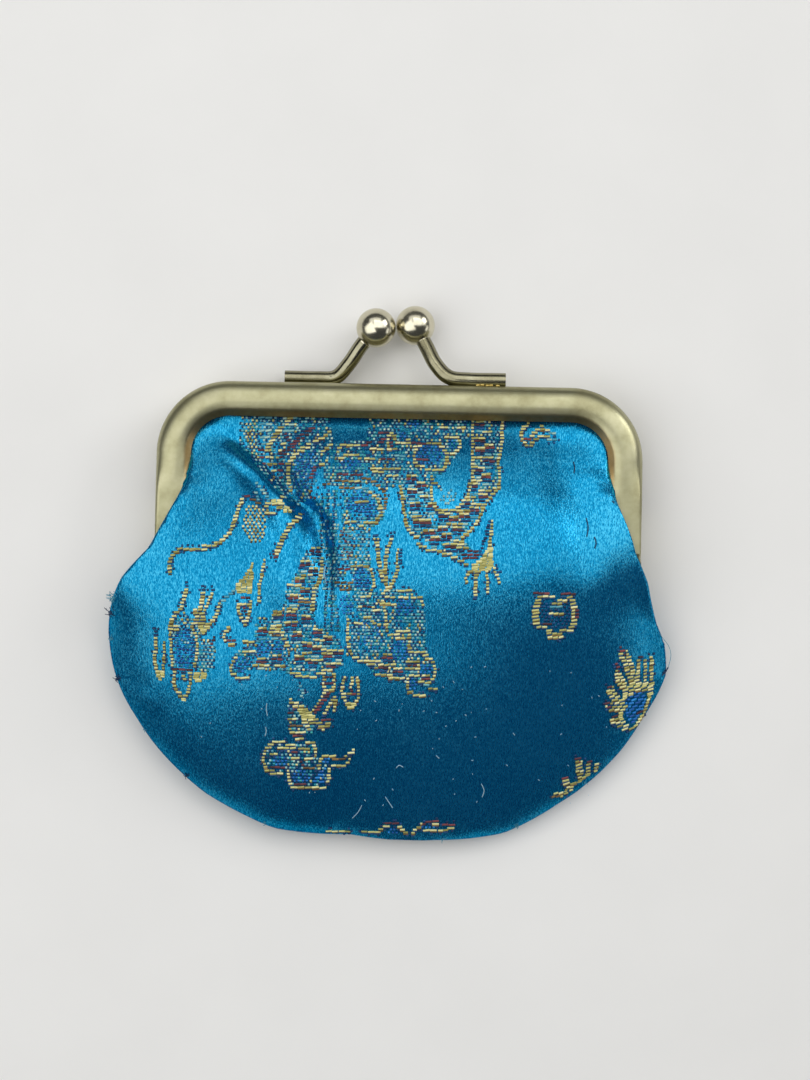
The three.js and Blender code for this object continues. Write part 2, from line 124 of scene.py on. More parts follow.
def to_linear(code):
    """An sRGB hex colour as linear red, green, blue and alpha."""
    parts = [int(code[i : i + 2], 16) / 255 for i in (1, 3, 5)]
    linear = [c / 12.92 if c <= 0.04045 else ((c + 0.055) / 1.055) ** 2.4 for c in parts]
    return (*linear, 1.0)


def new_material(name):
    """A new material with an empty node tree, and that tree."""
    material = bpy.data.materials.new(name)
    material.use_nodes = True
    material.node_tree.nodes.clear()
    return material, material.node_tree


def blend_colours(tree, factor, stops):
    """A colour ramp driven by a factor socket; stops are position and hex colour."""
    ramp = add_node(tree, "ShaderNodeValToRGB", inputs={"Fac": factor})
    while len(ramp.color_ramp.elements) < len(stops):
        ramp.color_ramp.elements.new(0.5)
    for element, (position, code) in zip(ramp.color_ramp.elements, stops):
        element.position = position
        element.color = to_linear(code)
    return ramp.outputs["Color"]


print("helpers ready")

# %% [markdown]
# The purse lies on a plain pale table under soft studio light. Satin shows its folds by what it
# mirrors, so each light is a wide panel, set where a part of the cloth mirrors it. The left ceiling
# panel is strong and turned a little: the upper half of the bag and its left side shine in it, and
# the lower half mirrors the dark beside it and goes deep blue. The panels on the right light the
# right edge of the bag and of the frame. The room itself is nearly dark.

# %% Table and light
TABLE_SIZE = 3.0
MOTTLE_SIZE = 25.0
ROOM_COLOUR = "#E6ECF2"
ROOM_STRENGTH = 0.07


def painted_board():
    """Matt white paint on board: an even pale grey with a faint mottle."""
    material, tree = new_material("matt_painted_board")
    where = add_node(tree, "ShaderNodeTexCoord")
    mottle = add_node(
        tree,
        "ShaderNodeTexNoise",
        inputs={"Vector": where.outputs["Object"], "Scale": 1 / (MOTTLE_SIZE * MM), "Detail": 4.0},
    )
    shade = blend_colours(tree, mottle.outputs["Fac"], [(0.3, "#EDECE9"), (0.7, "#F0EFEC")])
    shader = add_node(
        tree,
        "ShaderNodeBsdfPrincipled",
        inputs={"Base Color": shade, "Roughness": 0.7},
    )
    add_node(tree, "ShaderNodeOutputMaterial", inputs={"Surface": shader.outputs["BSDF"]})
    return material


half = TABLE_SIZE / 2
table_mesh = bpy.data.meshes.new("table")
table_mesh.from_pydata(
    [(-half, -half, 0), (half, -half, 0), (half, half, 0), (-half, half, 0)], [], [(0, 1, 2, 3)]
)
table_mesh.materials.append(painted_board())
table = linked("table", table_mesh)

LIGHTS = [
    # name, place and size across and along in metres, turn in degrees, power in watts; a turn of
    # None aims the panel at the purse
    ("left_ceiling_panel", (-1.24, -0.27, 1.0), (2.2, 1.3), 21.8, 15.0),
    ("right_ceiling_panel", (0.3, 0.46, 1.0), (1.1, 0.92), 0, 5.3),
    ("window_panel", (-0.1, 1.0, 0.95), (1.6, 0.6), None, 2.8),
    ("right_wall_panel", (1.05, 0.45, 0.85), (0.8, 0.5), None, 1.9),
    ("right_window_panel", (1.5, 0.9, 0.85), (0.8, 0.6), None, 6),
    ("right_low_panel", (1.4, -0.3, 0.35), (0.6, 0.3), None, 0.8),
]
for name, spot, (across, along), turn, power in LIGHTS:
    lamp = bpy.data.lights.new(name, "AREA")
    lamp.shape = "RECTANGLE"
    lamp.size = across
    lamp.size_y = along
    lamp.energy = power
    holder = linked(name, lamp)
    holder.location = spot
    if turn is None:
        holder.rotation_euler = Vector(spot).to_track_quat("Z", "Y").to_euler()
    else:
        holder.rotation_euler = (0, 0, math.radians(turn))

world = bpy.data.worlds.new("studio")
world.use_nodes = True
room = world.node_tree.nodes["Background"]
room.inputs["Color"].default_value = to_linear(ROOM_COLOUR)
room.inputs["Strength"].default_value = ROOM_STRENGTH
bpy.context.scene.world = world
bpy.context.scene.view_settings.view_transform = "Standard"
print("lights:", [name for name, *_ in LIGHTS])

# %% [markdown]
# The frame is sheet brass, folded into a channel, plated and tumbled. That gives a pale satin
# metal with a soft bloom and faint lines from polishing along the bar. Along the lip a brown tint
# is painted in, a painted reflection of warm brown surroundings. The clasp's rods were polished
# further, and its balls most of all, so they mirror the room. One function makes all of these,
# from tones, gloss and line depth.

# %% Metal finishes
BLOOM_SIZE = 6.0
POLISH_LINE = 0.5
POLISH_LENGTH = 14.0
POLISH_DEPTH = 0.05
BLOOM_DULL = 0.08
BLOOM_BRIGHT = 0.04
# brown tones painted on the frame's lip, a painted reflection of warm surroundings
LIP_REFLECTION_TONES = [(0.3, "#96784A"), (0.5, "#B89A66"), (0.7, "#CCB484")]


def plated_brass(name, tones, roughness, polish):
    """Plated brass: tones from bloom to bright metal, how deep the polishing lines are, and
    brown tones painted on the lip as a reflection, where the lip's mask attribute is 1."""
    material, tree = new_material(name)
    where = add_node(tree, "ShaderNodeTexCoord")
    bloom = add_node(
        tree,
        "ShaderNodeTexNoise",
        inputs={
            "Vector": where.outputs["Object"],
            "Scale": 1 / (BLOOM_SIZE * MM),
            "Detail": 5.0,
            "Roughness": 0.65,
        },
    )
    along = (1 / (POLISH_LENGTH * MM), 1 / (POLISH_LINE * MM), 1 / (POLISH_LINE * MM))
    stretch = add_node(
        tree, "ShaderNodeMapping", inputs={"Vector": where.outputs["Object"], "Scale": along}
    )
    lines = add_node(
        tree,
        "ShaderNodeTexNoise",
        inputs={"Vector": stretch.outputs["Vector"], "Scale": 1.0, "Detail": 3.0},
    )
    colour = blend_colours(tree, bloom.outputs["Fac"], tones)
    reflected_brown = blend_colours(tree, bloom.outputs["Fac"], LIP_REFLECTION_TONES)
    # the mask of the lip's painted brown reflection
    lip_reflection = add_node(tree, "ShaderNodeAttribute", {"attribute_name": "lip_reflection"})
    lip_tinted = add_node(
        tree,
        "ShaderNodeMixRGB",
        inputs={"Fac": lip_reflection.outputs["Fac"], "Color1": colour, "Color2": reflected_brown},
    )
    gloss = add_node(
        tree,
        "ShaderNodeMapRange",
        inputs={
            "Value": bloom.outputs["Fac"],
            "From Min": 0.3,
            "From Max": 0.7,
            "To Min": roughness + BLOOM_DULL,
            "To Max": roughness - BLOOM_BRIGHT,
        },
    )
    bump = add_node(
        tree,
        "ShaderNodeBump",
        inputs={"Strength": polish, "Distance": POLISH_DEPTH * MM, "Height": lines.outputs["Fac"]},
    )
    shader = add_node(
        tree,
        "ShaderNodeBsdfPrincipled",
        inputs={
            "Base Color": lip_tinted.outputs["Color"],
            "Metallic": 1.0,
            "Roughness": gloss.outputs["Result"],
            "Normal": bump.outputs["Normal"],
        },
    )
    add_node(tree, "ShaderNodeOutputMaterial", inputs={"Surface": shader.outputs["BSDF"]})
    return material


satin_brass = plated_brass(
    "plated_brass_tumbled", [(0.25, "#8C8764"), (0.5, "#A7A482"), (0.75, "#B7B494")], 0.35, 0.12
)
polished_brass = plated_brass(
    "plated_brass_polished", [(0.25, "#787359"), (0.5, "#8E8A71"), (0.75, "#A29F87")], 0.2, 0.06
)
mirror_brass = plated_brass(
    "plated_brass_mirror", [(0.25, "#BDB79E"), (0.5, "#D2CCB4"), (0.75, "#E2DDC8")], 0.2, 0.03
)
solder_brass = plated_brass(
    "bare_solder", [(0.25, "#A08A48"), (0.5, "#C0A862"), (0.75, "#D8C68A")], 0.2, 0.05
)
print("metals:", satin_brass.name, polished_brass.name, mirror_brass.name, solder_brass.name)

# %% [markdown]
# Each leaf of the frame is one strip folded round the cloth's edge: a flat back, a tight round at
# the outside, a swelling front and a lip that bites the cloth. A section swept along the frame's
# outline makes that shape, with many more steps than the CAD model, so it mirrors smoothly.

# %% Section of the channel
CORNER = 12.8
RUN_OUT = 20.0
LEG_END = 28.8
DEPTH = 6.1
THICK = 5.2
SHEET = 0.7
EDGE_ROUND = 0.9
SIDE = 3.0
CROWN = 3.5
BEVEL = 5.0
BEVEL_DROP = 0.3
LIP = 4.0
ARM_WIDTH = 5.2
ARM_TIP = 2.6
ARM_INSET = 0.1
FOLD_ROUND = 0.8
FRONT_FACE = front_high.z / MM - THICK
BACK_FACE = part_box("frame_back")[0].z / MM + THICK
QUARTER = np.linspace(0, math.pi / 2, 12)
ARC_STEPS = 5
BEVEL_STEPS = 6


def ellipse(centre, radii, turns):
    """Points on part of an ellipse, as distance in from the edge and height above the flat."""
    return [(centre[0] - radii[0] * math.cos(t), centre[1] + radii[1] * math.sin(t)) for t in turns]


def lip_section(sheet):
    """From the crown over a soft arc and down a bevel to the lip; sheet is how far inside it lies."""
    shares = np.linspace(0, 1, ARC_STEPS + 1)[1:]
    arc = [(CROWN + (BEVEL - CROWN) * t, THICK - BEVEL_DROP * t * t) for t in shares]
    start = THICK - BEVEL_DROP
    shares = np.linspace(0, 1, BEVEL_STEPS + 1)[1:]
    bevel = [(BEVEL + (DEPTH - BEVEL) * t, start + (LIP - start) * t) for t in shares]
    return [(r, q - sheet) for r, q in arc] + [(r - sheet / 2, q - sheet) for r, q in bevel]


def channel_section():
    """The folded strip's section: outside first, from the flat's free edge round to the lip."""
    outside = [(DEPTH, 0.0)]
    outside += ellipse((EDGE_ROUND, EDGE_ROUND), (EDGE_ROUND, EDGE_ROUND), QUARTER - math.pi / 2)
    outside += ellipse((CROWN, SIDE), (CROWN, THICK - SIDE), QUARTER)
    outside += lip_section(0.0)
    inside = [(DEPTH, SHEET)]
    inside += [(SHEET, SHEET)] * len(QUARTER)
    inside += ellipse((CROWN, SIDE), (CROWN - SHEET, THICK - SIDE - SHEET), QUARTER)
    inside += lip_section(SHEET)
    return outside, inside


print("section points:", sum(len(side) for side in channel_section()))

# %% Sweep the channel along the frame
CORNER_STEPS = 28
BAR_STEPS = 12
LEG_STEPS = 12
STRIP_STEPS = 9


def limited(share):
    """A share kept between 0 and 1."""
    return min(max(share, 0.0), 1.0)


def strip_width(down):
    """Width of the flat strip that the leg runs out into; it narrows to its tip."""
    return ARM_WIDTH + (ARM_TIP - ARM_WIDTH) * limited((down - RUN_OUT) / (LEG_END - RUN_OUT))


def flattened(r, q, share, down):
    """A section point on its way from the channel to the flat strip; share is 1 at the strip."""
    drop = FOLD_ROUND - math.sqrt(FOLD_ROUND**2 - max(FOLD_ROUND - r, 0.0) ** 2)
    strip_r = ARM_INSET + r * (strip_width(down) - ARM_INSET) / DEPTH
    strip_q = THICK - ARM_INSET - (drop if q > SIDE else SHEET)
    return r + (strip_r - r) * share, q + (strip_q - q) * share


def frame_stations():
    """Across, down, inward direction and run-out share along the outline, left leg to right leg."""
    corner_x = HALF_WIDTH - CORNER
    stations = []
    for down in np.linspace(LEG_END, RUN_OUT, STRIP_STEPS)[:-1]:
        stations.append((-HALF_WIDTH, down, 1.0, 0.0, 1.0))
    for share in np.linspace(1, 0, LEG_STEPS + 1)[:-1]:
        eased = share * share * (3 - 2 * share)
        stations.append((-HALF_WIDTH, CORNER + (RUN_OUT - CORNER) * share, 1.0, 0.0, eased))
    for turn in np.linspace(0, math.pi / 2, CORNER_STEPS):
        x = -corner_x - CORNER * math.cos(turn)
        stations.append((x, CORNER * (1 - math.sin(turn)), math.cos(turn), math.sin(turn), 0.0))
    mirrored = [(-x, y, -in_x, in_y, share) for x, y, in_x, in_y, share in reversed(stations)]
    shares = np.linspace(0, 1, BAR_STEPS)[1:-1]
    bar = [(corner_x * (2 * share - 1), 0.0, 0.0, 1.0, 0.0) for share in shares]
    return stations + bar + mirrored


def channel(face_height, facing):
    """Points and faces of one leaf's channel; facing is 1 for the front leaf and -1 for the back."""
    outside, inside = channel_section()
    loop = outside + inside[::-1]
    stations = frame_stations()
    points = []
    for x, y, in_x, in_y, share in stations:
        for k, (r, q) in enumerate(loop):
            sheet = 0.0 if k < len(outside) else SHEET
            upper = q > SIDE
            r, q = flattened(r, q + sheet if upper else q, share, y)
            q = q - sheet if upper else q
            points.append(place(x + in_x * r, y + in_y * r, face_height + facing * q))
    size = len(loop)
    faces = []
    for s in range(len(stations) - 1):
        for k in range(size):
            a, b = s * size + k, s * size + (k + 1) % size
            faces.append((a, b, b + size, a + size))
    for start in (0, (len(stations) - 1) * size):
        for k in range(len(outside) - 1):
            faces.append((start + k, start + k + 1, start + size - 2 - k, start + size - 1 - k))
    return points, faces


print("places along the frame:", len(frame_stations()))

# %% [markdown]
# Below the channel each leg goes on as a thin arm: a flat strip with its outer side folded down,
# ending in a round ear that the rivet goes through. The back leaf's ears step inwards so that they
# lie inside the front leaf's. A grid of points across the fold and down the arm makes the sheet,
# and Solidify gives it the metal's thickness.

# %% Hinge arm of a leaf
ARM_TOP = 20.2
ARM_DROP = 0.08
STRIP_END = 29.0
EAR_RADIUS = 2.6
EAR_STEP = 1.2
JOGGLE = 30.5
STRIP_FADE = 1.2
SMALLEST_BEND = 0.05
FLAT_STEPS = 4
FOLD_STEPS = 5
RIM_STEPS = 5
EAR_SHARE = 0.995


def arm_row(down, face_height, facing, ear_step):
    """One row across the arm: from the strip's inner edge, over the fold, to the rim's edge."""
    hinge_rise = (HINGE_HEIGHT - face_height) * facing
    reach = EAR_RADIUS**2 - (down - TOP_TO_HINGE) ** 2
    ear = math.sqrt(max(reach, 0.0))
    slope = limited((down - STRIP_END) / (TOP_TO_HINGE - STRIP_END))
    flat_top = THICK - ARM_INSET - ARM_DROP
    top = flat_top + (hinge_rise + EAR_RADIUS - flat_top) * slope
    top = top if down < TOP_TO_HINGE else hinge_rise + ear
    low = min(0.0, hinge_rise - ear) if down < TOP_TO_HINGE else hinge_rise - ear
    outer = HALF_WIDTH - ARM_INSET - min(max(down - JOGGLE + ear_step, 0.0), ear_step)
    width = strip_width(down) - ARM_INSET
    width *= limited((STRIP_END + STRIP_FADE - down) / STRIP_FADE)
    bend = min(FOLD_ROUND, max(width, SMALLEST_BEND), 0.5 * (top - low))
    row = [(outer - bend - (width - bend) * (1 - k / FLAT_STEPS), top) for k in range(FLAT_STEPS)]
    for turn in np.linspace(0, math.pi / 2, FOLD_STEPS + 1):
        row.append((outer - bend * (1 - math.sin(turn)), top - bend * (1 - math.cos(turn))))
    row += [(outer, top - bend + (low - top + bend) * k / RIM_STEPS) for k in range(1, RIM_STEPS + 1)]
    return [(x, down, face_height + facing * q) for x, q in row]


def hinge_arm(side, face_height, facing, ear_step):
    """The sheet of one arm, its outer face only; side is 1 for the right leg and -1 for the left."""
    downs = list(np.linspace(ARM_TOP, STRIP_END, 8)) + list(np.linspace(STRIP_END, TOP_TO_HINGE, 9)[1:])
    ear_turns = np.linspace(0, math.pi / 2, 9)[1:]
    downs += [TOP_TO_HINGE + EAR_RADIUS * math.sin(t) * EAR_SHARE for t in ear_turns]
    rows = [arm_row(down, face_height, facing, ear_step) for down in downs]
    size = len(rows[0])
    points = [place(side * x, down, z) for row in rows for x, down, z in row]
    faces = [
        (r * size + k, r * size + k + 1, (r + 1) * size + k + 1, (r + 1) * size + k)
        for r in range(len(rows) - 1)
        for k in range(size - 1)
    ]
    return points, faces


print("arm rows have", len(arm_row(ARM_TOP, FRONT_FACE, 1, 0.0)), "points")

# %% Helpers for pieces
MERGE_DISTANCE = 0.004
SLIVER = 0.002
SHARP_FOLD = math.radians(38)


def mesh_of(name, points, faces):
    """A mesh with faces turned outwards and smooth shading broken at sharp folds."""
    shape = bmesh.new()
    corners = [shape.verts.new(p) for p in points]
    for face in faces:
        distinct = list(dict.fromkeys(face))
        if len(distinct) > 2:
            shape.faces.new([corners[i] for i in distinct])
    bmesh.ops.remove_doubles(shape, verts=shape.verts, dist=MERGE_DISTANCE * MM)
    bmesh.ops.dissolve_degenerate(shape, edges=shape.edges, dist=SLIVER * MM)
    bmesh.ops.recalc_face_normals(shape, faces=shape.faces)
    mesh = bpy.data.meshes.new(name)
    shape.to_mesh(mesh)
    shape.free()
    mesh.shade_smooth()
    mesh.set_sharp_from_angle(angle=SHARP_FOLD)
    return mesh


def new_piece(name, mesh, material):
    """An object at the origin that shows a mesh in one material."""
    mesh.materials.clear()
    mesh.materials.append(material)
    return linked(name, mesh)


def plain_mesh(piece):
    """The piece's mesh after its modifiers, which are then removed."""
    bpy.context.view_layer.update()
    shaped = piece.evaluated_get(bpy.context.evaluated_depsgraph_get())
    mesh = bpy.data.meshes.new_from_object(shaped)
    piece.modifiers.clear()
    return mesh


def joined(name, meshes, material):
    """Several meshes as one piece."""
    shape = bmesh.new()
    for mesh in meshes:
        shape.from_mesh(mesh)
    whole = bpy.data.meshes.new(name)
    shape.to_mesh(whole)
    shape.free()
    return new_piece(name, whole, material)


print("helpers for pieces ready")

# %% Build the two leaves
# where the lip's painted brown reflection starts, is full, and fades out down the legs
LIP_REFLECTION_START = 4.9
LIP_REFLECTION_FULL = 5.3
LIP_REFLECTION_FADE = 5.0


def mark_lip_reflection(mesh):
    """Marks the lip, where a brown reflection is painted, with 1 and the rest of the leaf with 0."""
    top = place(0, 0)
    lip_reflection = []
    for corner in mesh.vertices:
        down = (top.y - corner.co.y) / MM
        past_x = max(abs(corner.co.x - top.x) / MM - HALF_WIDTH + CORNER, 0.0)
        inset = CORNER - math.hypot(past_x, max(CORNER - down, 0.0))
        share = limited((inset - LIP_REFLECTION_START) / (LIP_REFLECTION_FULL - LIP_REFLECTION_START))
        lip_reflection.append(share * limited((RUN_OUT - down) / LIP_REFLECTION_FADE))
    mesh.attributes.new("lip_reflection", "FLOAT", "POINT").data.foreach_set("value", lip_reflection)


LEAVES = [("frame_front", FRONT_FACE, 1, 0.0), ("frame_back", BACK_FACE, -1, EAR_STEP)]
leaves = {}
for node, face_height, facing, ear_step in LEAVES:
    meshes = [mesh_of(node + "_channel", *channel(face_height, facing))]
    for side in (1, -1):
        sheet = mesh_of("arm", *hinge_arm(side, face_height, facing, ear_step))
        arm = new_piece("arm", sheet, satin_brass)
        middle = sum((f.normal.x * side for f in arm.data.polygons), 0.0)
        if middle < 0:
            arm.data.flip_normals()
        thick = arm.modifiers.new("sheet", "SOLIDIFY")
        thick.thickness = SHEET * MM
        thick.offset = -1
        meshes.append(plain_mesh(arm))
        bpy.data.objects.remove(arm)
    leaves[node] = joined(node + "_leaf", meshes, satin_brass)
    mark_lip_reflection(leaves[node].data)
    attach(leaves[node], BODY)
    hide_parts(node)
    print(leaves[node].name, len(leaves[node].data.polygons), "faces")

# %% [markdown]
# The kiss lock is two bent rods, each soldered to its own leaf and ending in a ball. The balls lie
# side by side and have to be pushed past each other, and the rods spring back and hold them. One
# Geometry Nodes tree follows a path with a round rod and sets a ball on its end, so both rods come
# from it. The rod swells a little where it runs into the ball, and the ball gets the brighter metal.

# %% Tree for a rod with a ball
ROD_RADIUS = 1.32
BALL_RADIUS = 3.46
ROD_SIDES = 28
BALL_SIDES = 56


def new_tree(name, inputs):
    """A geometry tree with a geometry input, named inputs and a geometry output."""
    tree = bpy.data.node_groups.new(name, "GeometryNodeTree")
    tree.interface.new_socket("Geometry", in_out="INPUT", socket_type="NodeSocketGeometry")
    for label, kind in inputs:
        tree.interface.new_socket(label, in_out="INPUT", socket_type=kind)
    tree.interface.new_socket("Geometry", in_out="OUTPUT", socket_type="NodeSocketGeometry")
    return tree, add_node(tree, "NodeGroupInput").outputs


def close_tree(tree, geometry, material):
    """Ends a tree: real mesh instead of instances, smooth, in the material."""
    real = add_node(tree, "GeometryNodeRealizeInstances", inputs={"Geometry": geometry})
    smooth = add_node(tree, "GeometryNodeSetShadeSmooth", inputs={"Geometry": real.outputs["Geometry"]})
    dressed = add_node(
        tree,
        "GeometryNodeSetMaterial",
        inputs={"Geometry": smooth.outputs["Geometry"], "Material": material},
    )
    add_node(tree, "NodeGroupOutput", inputs={"Geometry": dressed.outputs["Geometry"]})


def run_tree(piece, tree, values):
    """Runs a tree on an object and leaves its result there as a plain mesh object."""
    modifier = piece.modifiers.new(tree.name, "NODES")
    modifier.node_group = tree
    for item in tree.interface.items_tree:
        if item.in_out == "INPUT" and item.name in values:
            modifier[item.identifier] = values[item.name]
    name = piece.name
    mesh = plain_mesh(piece)
    bpy.data.objects.remove(piece)
    return linked(name, mesh)


def rod_tree():
    """Round rod along a path, with a ball on the path's last point."""
    tree, given = new_tree(
        "rod_with_ball",
        [
            ("Rod Radius", "NodeSocketFloat"),
            ("Ball Radius", "NodeSocketFloat"),
            ("Metal", "NodeSocketMaterial"),
        ],
    )
    round_bar = add_node(
        tree,
        "GeometryNodeCurvePrimitiveCircle",
        inputs={"Resolution": ROD_SIDES, "Radius": given["Rod Radius"]},
    )
    rod = add_node(
        tree,
        "GeometryNodeCurveToMesh",
        inputs={"Curve": given["Geometry"], "Profile Curve": round_bar.outputs["Curve"], "Fill Caps": True},
    )
    ball = add_node(
        tree,
        "GeometryNodeMeshUVSphere",
        inputs={"Segments": BALL_SIDES, "Rings": BALL_SIDES // 2, "Radius": given["Ball Radius"]},
    )
    last = add_node(tree, "GeometryNodeCurveEndpointSelection", inputs={"Start Size": 0, "End Size": 1})
    set_ball = add_node(
        tree,
        "GeometryNodeInstanceOnPoints",
        inputs={
            "Points": given["Geometry"],
            "Selection": last.outputs["Selection"],
            "Instance": ball.outputs["Mesh"],
        },
    )
    both = add_node(tree, "GeometryNodeJoinGeometry")
    tree.links.new(rod.outputs["Mesh"], both.inputs["Geometry"])
    tree.links.new(set_ball.outputs["Instances"], both.inputs["Geometry"])
    close_tree(tree, both.outputs["Geometry"], given["Metal"])
    return tree


clasp_tree = rod_tree()
print("rod tree:", len(clasp_tree.nodes), "nodes")

# %% Bend the rods
FOOT_RISE = 1.9
BALL_SINK = -1.02
RODS = {
    # across, up from the frame's top edge, lean from the leaf's own face towards the other leaf
    "clasp_rod_front": [
        (18.3, 1.1, 0), (12, 1.1, 0), (8.4, 1.5, 0.05), (6, 3.8, 0.3), (4.3, 7, 0.65), (2.3, 10.7, 1),
    ],
    "clasp_rod_back": [
        (-20.6, 1.1, 0), (-15, 1.1, 0), (-11.6, 1.4, 0.05), (-9.2, 3.9, 0.35), (-7.1, 7, 0.7), (-4.6, 10, 1),
    ],
}
ROD_LEAF = {"clasp_rod_front": (FRONT_FACE, 1), "clasp_rod_back": (BACK_FACE, -1)}
SWELL = 0.55
SWELL_START = 0.72
ROD_STEPS = 12
ROD_END_ANGLE = math.radians(50)


def smooth_path(points, steps):
    """A Catmull-Rom curve through points of any dimension."""
    points = [np.array(p, float) for p in points]
    padded = [2 * points[0] - points[1], *points, 2 * points[-1] - points[-2]]
    path = []
    for a, b, c, d in zip(padded, padded[1:], padded[2:], padded[3:]):
        for t in np.arange(steps) / steps:
            square = (2 * a - 5 * b + 4 * c - d) * t**2
            cube = (3 * b - a - 3 * c + d) * t**3
            path.append(0.5 * (2 * b + (c - a) * t + square + cube))
    return path + [points[-1]]


def path_object(name, paths, radii=None):
    """A curve object along paths of points in metres, with a radius factor at each point if given."""
    curve = bpy.data.curves.new(name, "CURVE")
    curve.dimensions = "3D"
    for points in paths:
        spline = curve.splines.new("POLY")
        spline.points.add(len(points) - 1)
        for target, point in zip(spline.points, points):
            target.co = (*point, 1)
        for target, radius in zip(spline.points, radii or []):
            target.radius = radius
    return linked(name, curve)


rods = {}
for name, rows in RODS.items():
    face_height, facing = ROD_LEAF[name]
    spots = []
    for x, up, lean in smooth_path(rows, ROD_STEPS):
        rise = FOOT_RISE + (BALL_SINK - FOOT_RISE) * lean
        spots.append(place(x, -up, face_height + facing * rise))
    shares = np.linspace(0, 1, len(spots))
    swell = [1 + SWELL * max(0.0, (t - SWELL_START) / (1 - SWELL_START)) ** 2 for t in shares]
    rods[name] = run_tree(
        path_object(name, [spots], swell),
        clasp_tree,
        {"Rod Radius": ROD_RADIUS * MM, "Ball Radius": BALL_RADIUS * MM, "Metal": polished_brass},
    )
    rods[name].data.set_sharp_from_angle(angle=ROD_END_ANGLE)
    rods[name].data.materials.clear()
    for metal in (polished_brass, mirror_brass):
        rods[name].data.materials.append(metal)
    for face in rods[name].data.polygons:
        face.material_index = int((face.center - spots[-1]).length < BALL_RADIUS * MM)
    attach(rods[name], BODY)
    print(name, len(rods[name].data.polygons), "faces")

# %% [markdown]
# The leaves turn on two small rivets with domed heads, and a few drops of solder hold each rod's
# foot. Both are small shapes set on points, so each is one tree that instances a shape.

# %% Tree for the rivets
RIVET_SIDES = 24


def rivet_tree():
    """A rivet along X on each point: a shank between two domed heads."""
    tree, given = new_tree(
        "domed_rivet",
        [
            ("Shank Radius", "NodeSocketFloat"),
            ("Shank Length", "NodeSocketFloat"),
            ("Head Scale", "NodeSocketVector"),
            ("Metal", "NodeSocketMaterial"),
        ],
    )
    shank = add_node(
        tree,
        "GeometryNodeMeshCylinder",
        inputs={"Vertices": RIVET_SIDES, "Radius": given["Shank Radius"], "Depth": given["Shank Length"]},
    )
    dome = add_node(
        tree,
        "GeometryNodeMeshUVSphere",
        inputs={"Segments": RIVET_SIDES, "Rings": RIVET_SIDES // 2, "Radius": 1.0},
    )
    ends = add_node(
        tree,
        "GeometryNodeMeshLine",
        {"mode": "END_POINTS"},
        {"Count": 2, "Start Location": (0, 0, 0), "Offset": (0, 0, 1)},
    )
    half_shank = add_node(
        tree, "ShaderNodeMath", {"operation": "MULTIPLY"}, {0: given["Shank Length"], 1: 0.5}
    )
    upper = add_node(tree, "ShaderNodeCombineXYZ", inputs={"Z": half_shank.outputs[0]})
    lower = add_node(
        tree, "ShaderNodeVectorMath", {"operation": "SCALE"}, {0: upper.outputs[0], "Scale": -1.0}
    )
    tree.links.new(upper.outputs[0], ends.inputs["Start Location"])
    tree.links.new(lower.outputs["Vector"], ends.inputs["Offset"])
    heads = add_node(
        tree,
        "GeometryNodeInstanceOnPoints",
        inputs={
            "Points": ends.outputs["Mesh"],
            "Instance": dome.outputs["Mesh"],
            "Scale": given["Head Scale"],
        },
    )
    whole = add_node(tree, "GeometryNodeJoinGeometry")
    tree.links.new(shank.outputs["Mesh"], whole.inputs["Geometry"])
    tree.links.new(heads.outputs["Instances"], whole.inputs["Geometry"])
    placed = add_node(
        tree,
        "GeometryNodeInstanceOnPoints",
        inputs={
            "Points": given["Geometry"],
            "Instance": whole.outputs["Geometry"],
            "Rotation": (0, math.pi / 2, 0),
        },
    )
    close_tree(tree, placed.outputs["Instances"], given["Metal"])
    return tree


hinge_tree = rivet_tree()
print("rivet tree:", len(hinge_tree.nodes), "nodes")

# %% Tree for the solder drops
SOLDER_STRETCH = (1.5, 0.9, 1.0)


def drop_tree():
    """A small solder drop on each point."""
    tree, given = new_tree(
        "solder_drop", [("Drop Size", "NodeSocketFloat"), ("Metal", "NodeSocketMaterial")]
    )
    drop = add_node(
        tree, "GeometryNodeMeshIcoSphere", inputs={"Radius": given["Drop Size"], "Subdivisions": 3}
    )
    placed = add_node(
        tree,
        "GeometryNodeInstanceOnPoints",
        inputs={
            "Points": given["Geometry"],
            "Instance": drop.outputs["Mesh"],
            "Scale": SOLDER_STRETCH,
        },
    )
    close_tree(tree, placed.outputs["Instances"], given["Metal"])
    return tree


solder_tree = drop_tree()
print("solder tree:", len(solder_tree.nodes), "nodes")

# %% Set the rivets and the solder
RIVET_RADIUS = 0.9
HEAD_RADIUS = 1.7
HEAD_HEIGHT = 0.8
RUNNING_GAP = 0.3
RIVET_OUTER = HALF_WIDTH - ARM_INSET + RUNNING_GAP
RIVET_INNER = HALF_WIDTH - ARM_INSET - EAR_STEP - SHEET - RUNNING_GAP
SOLDER_SIZE = 0.3
SOLDER_RISE = 0.9
SOLDER_SHIFT = 2.6
SOLDER = [(13.4, -0.12), (14.2, -0.2), (15.1, -0.1), (15.7, -0.16), (16.9, -0.1)]


def point_object(name, spots):
    """An object with only points, for a tree to set shapes on."""
    mesh = bpy.data.meshes.new(name)
    mesh.from_pydata(spots, [], [])
    return linked(name, mesh)


rivet_middle = (RIVET_OUTER + RIVET_INNER) / 2
rivets = run_tree(
    point_object("hinge_rivets", [place(s * rivet_middle, TOP_TO_HINGE, HINGE_HEIGHT) for s in (1, -1)]),
    hinge_tree,
    {
        "Shank Radius": RIVET_RADIUS * MM,
        "Shank Length": (RIVET_OUTER - RIVET_INNER) * MM,
        "Head Scale": (HEAD_RADIUS * MM, HEAD_RADIUS * MM, HEAD_HEIGHT * MM),
        "Metal": polished_brass,
    },
)
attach(rivets, BODY)
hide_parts("hinge_rivet_left", "hinge_rivet_right")

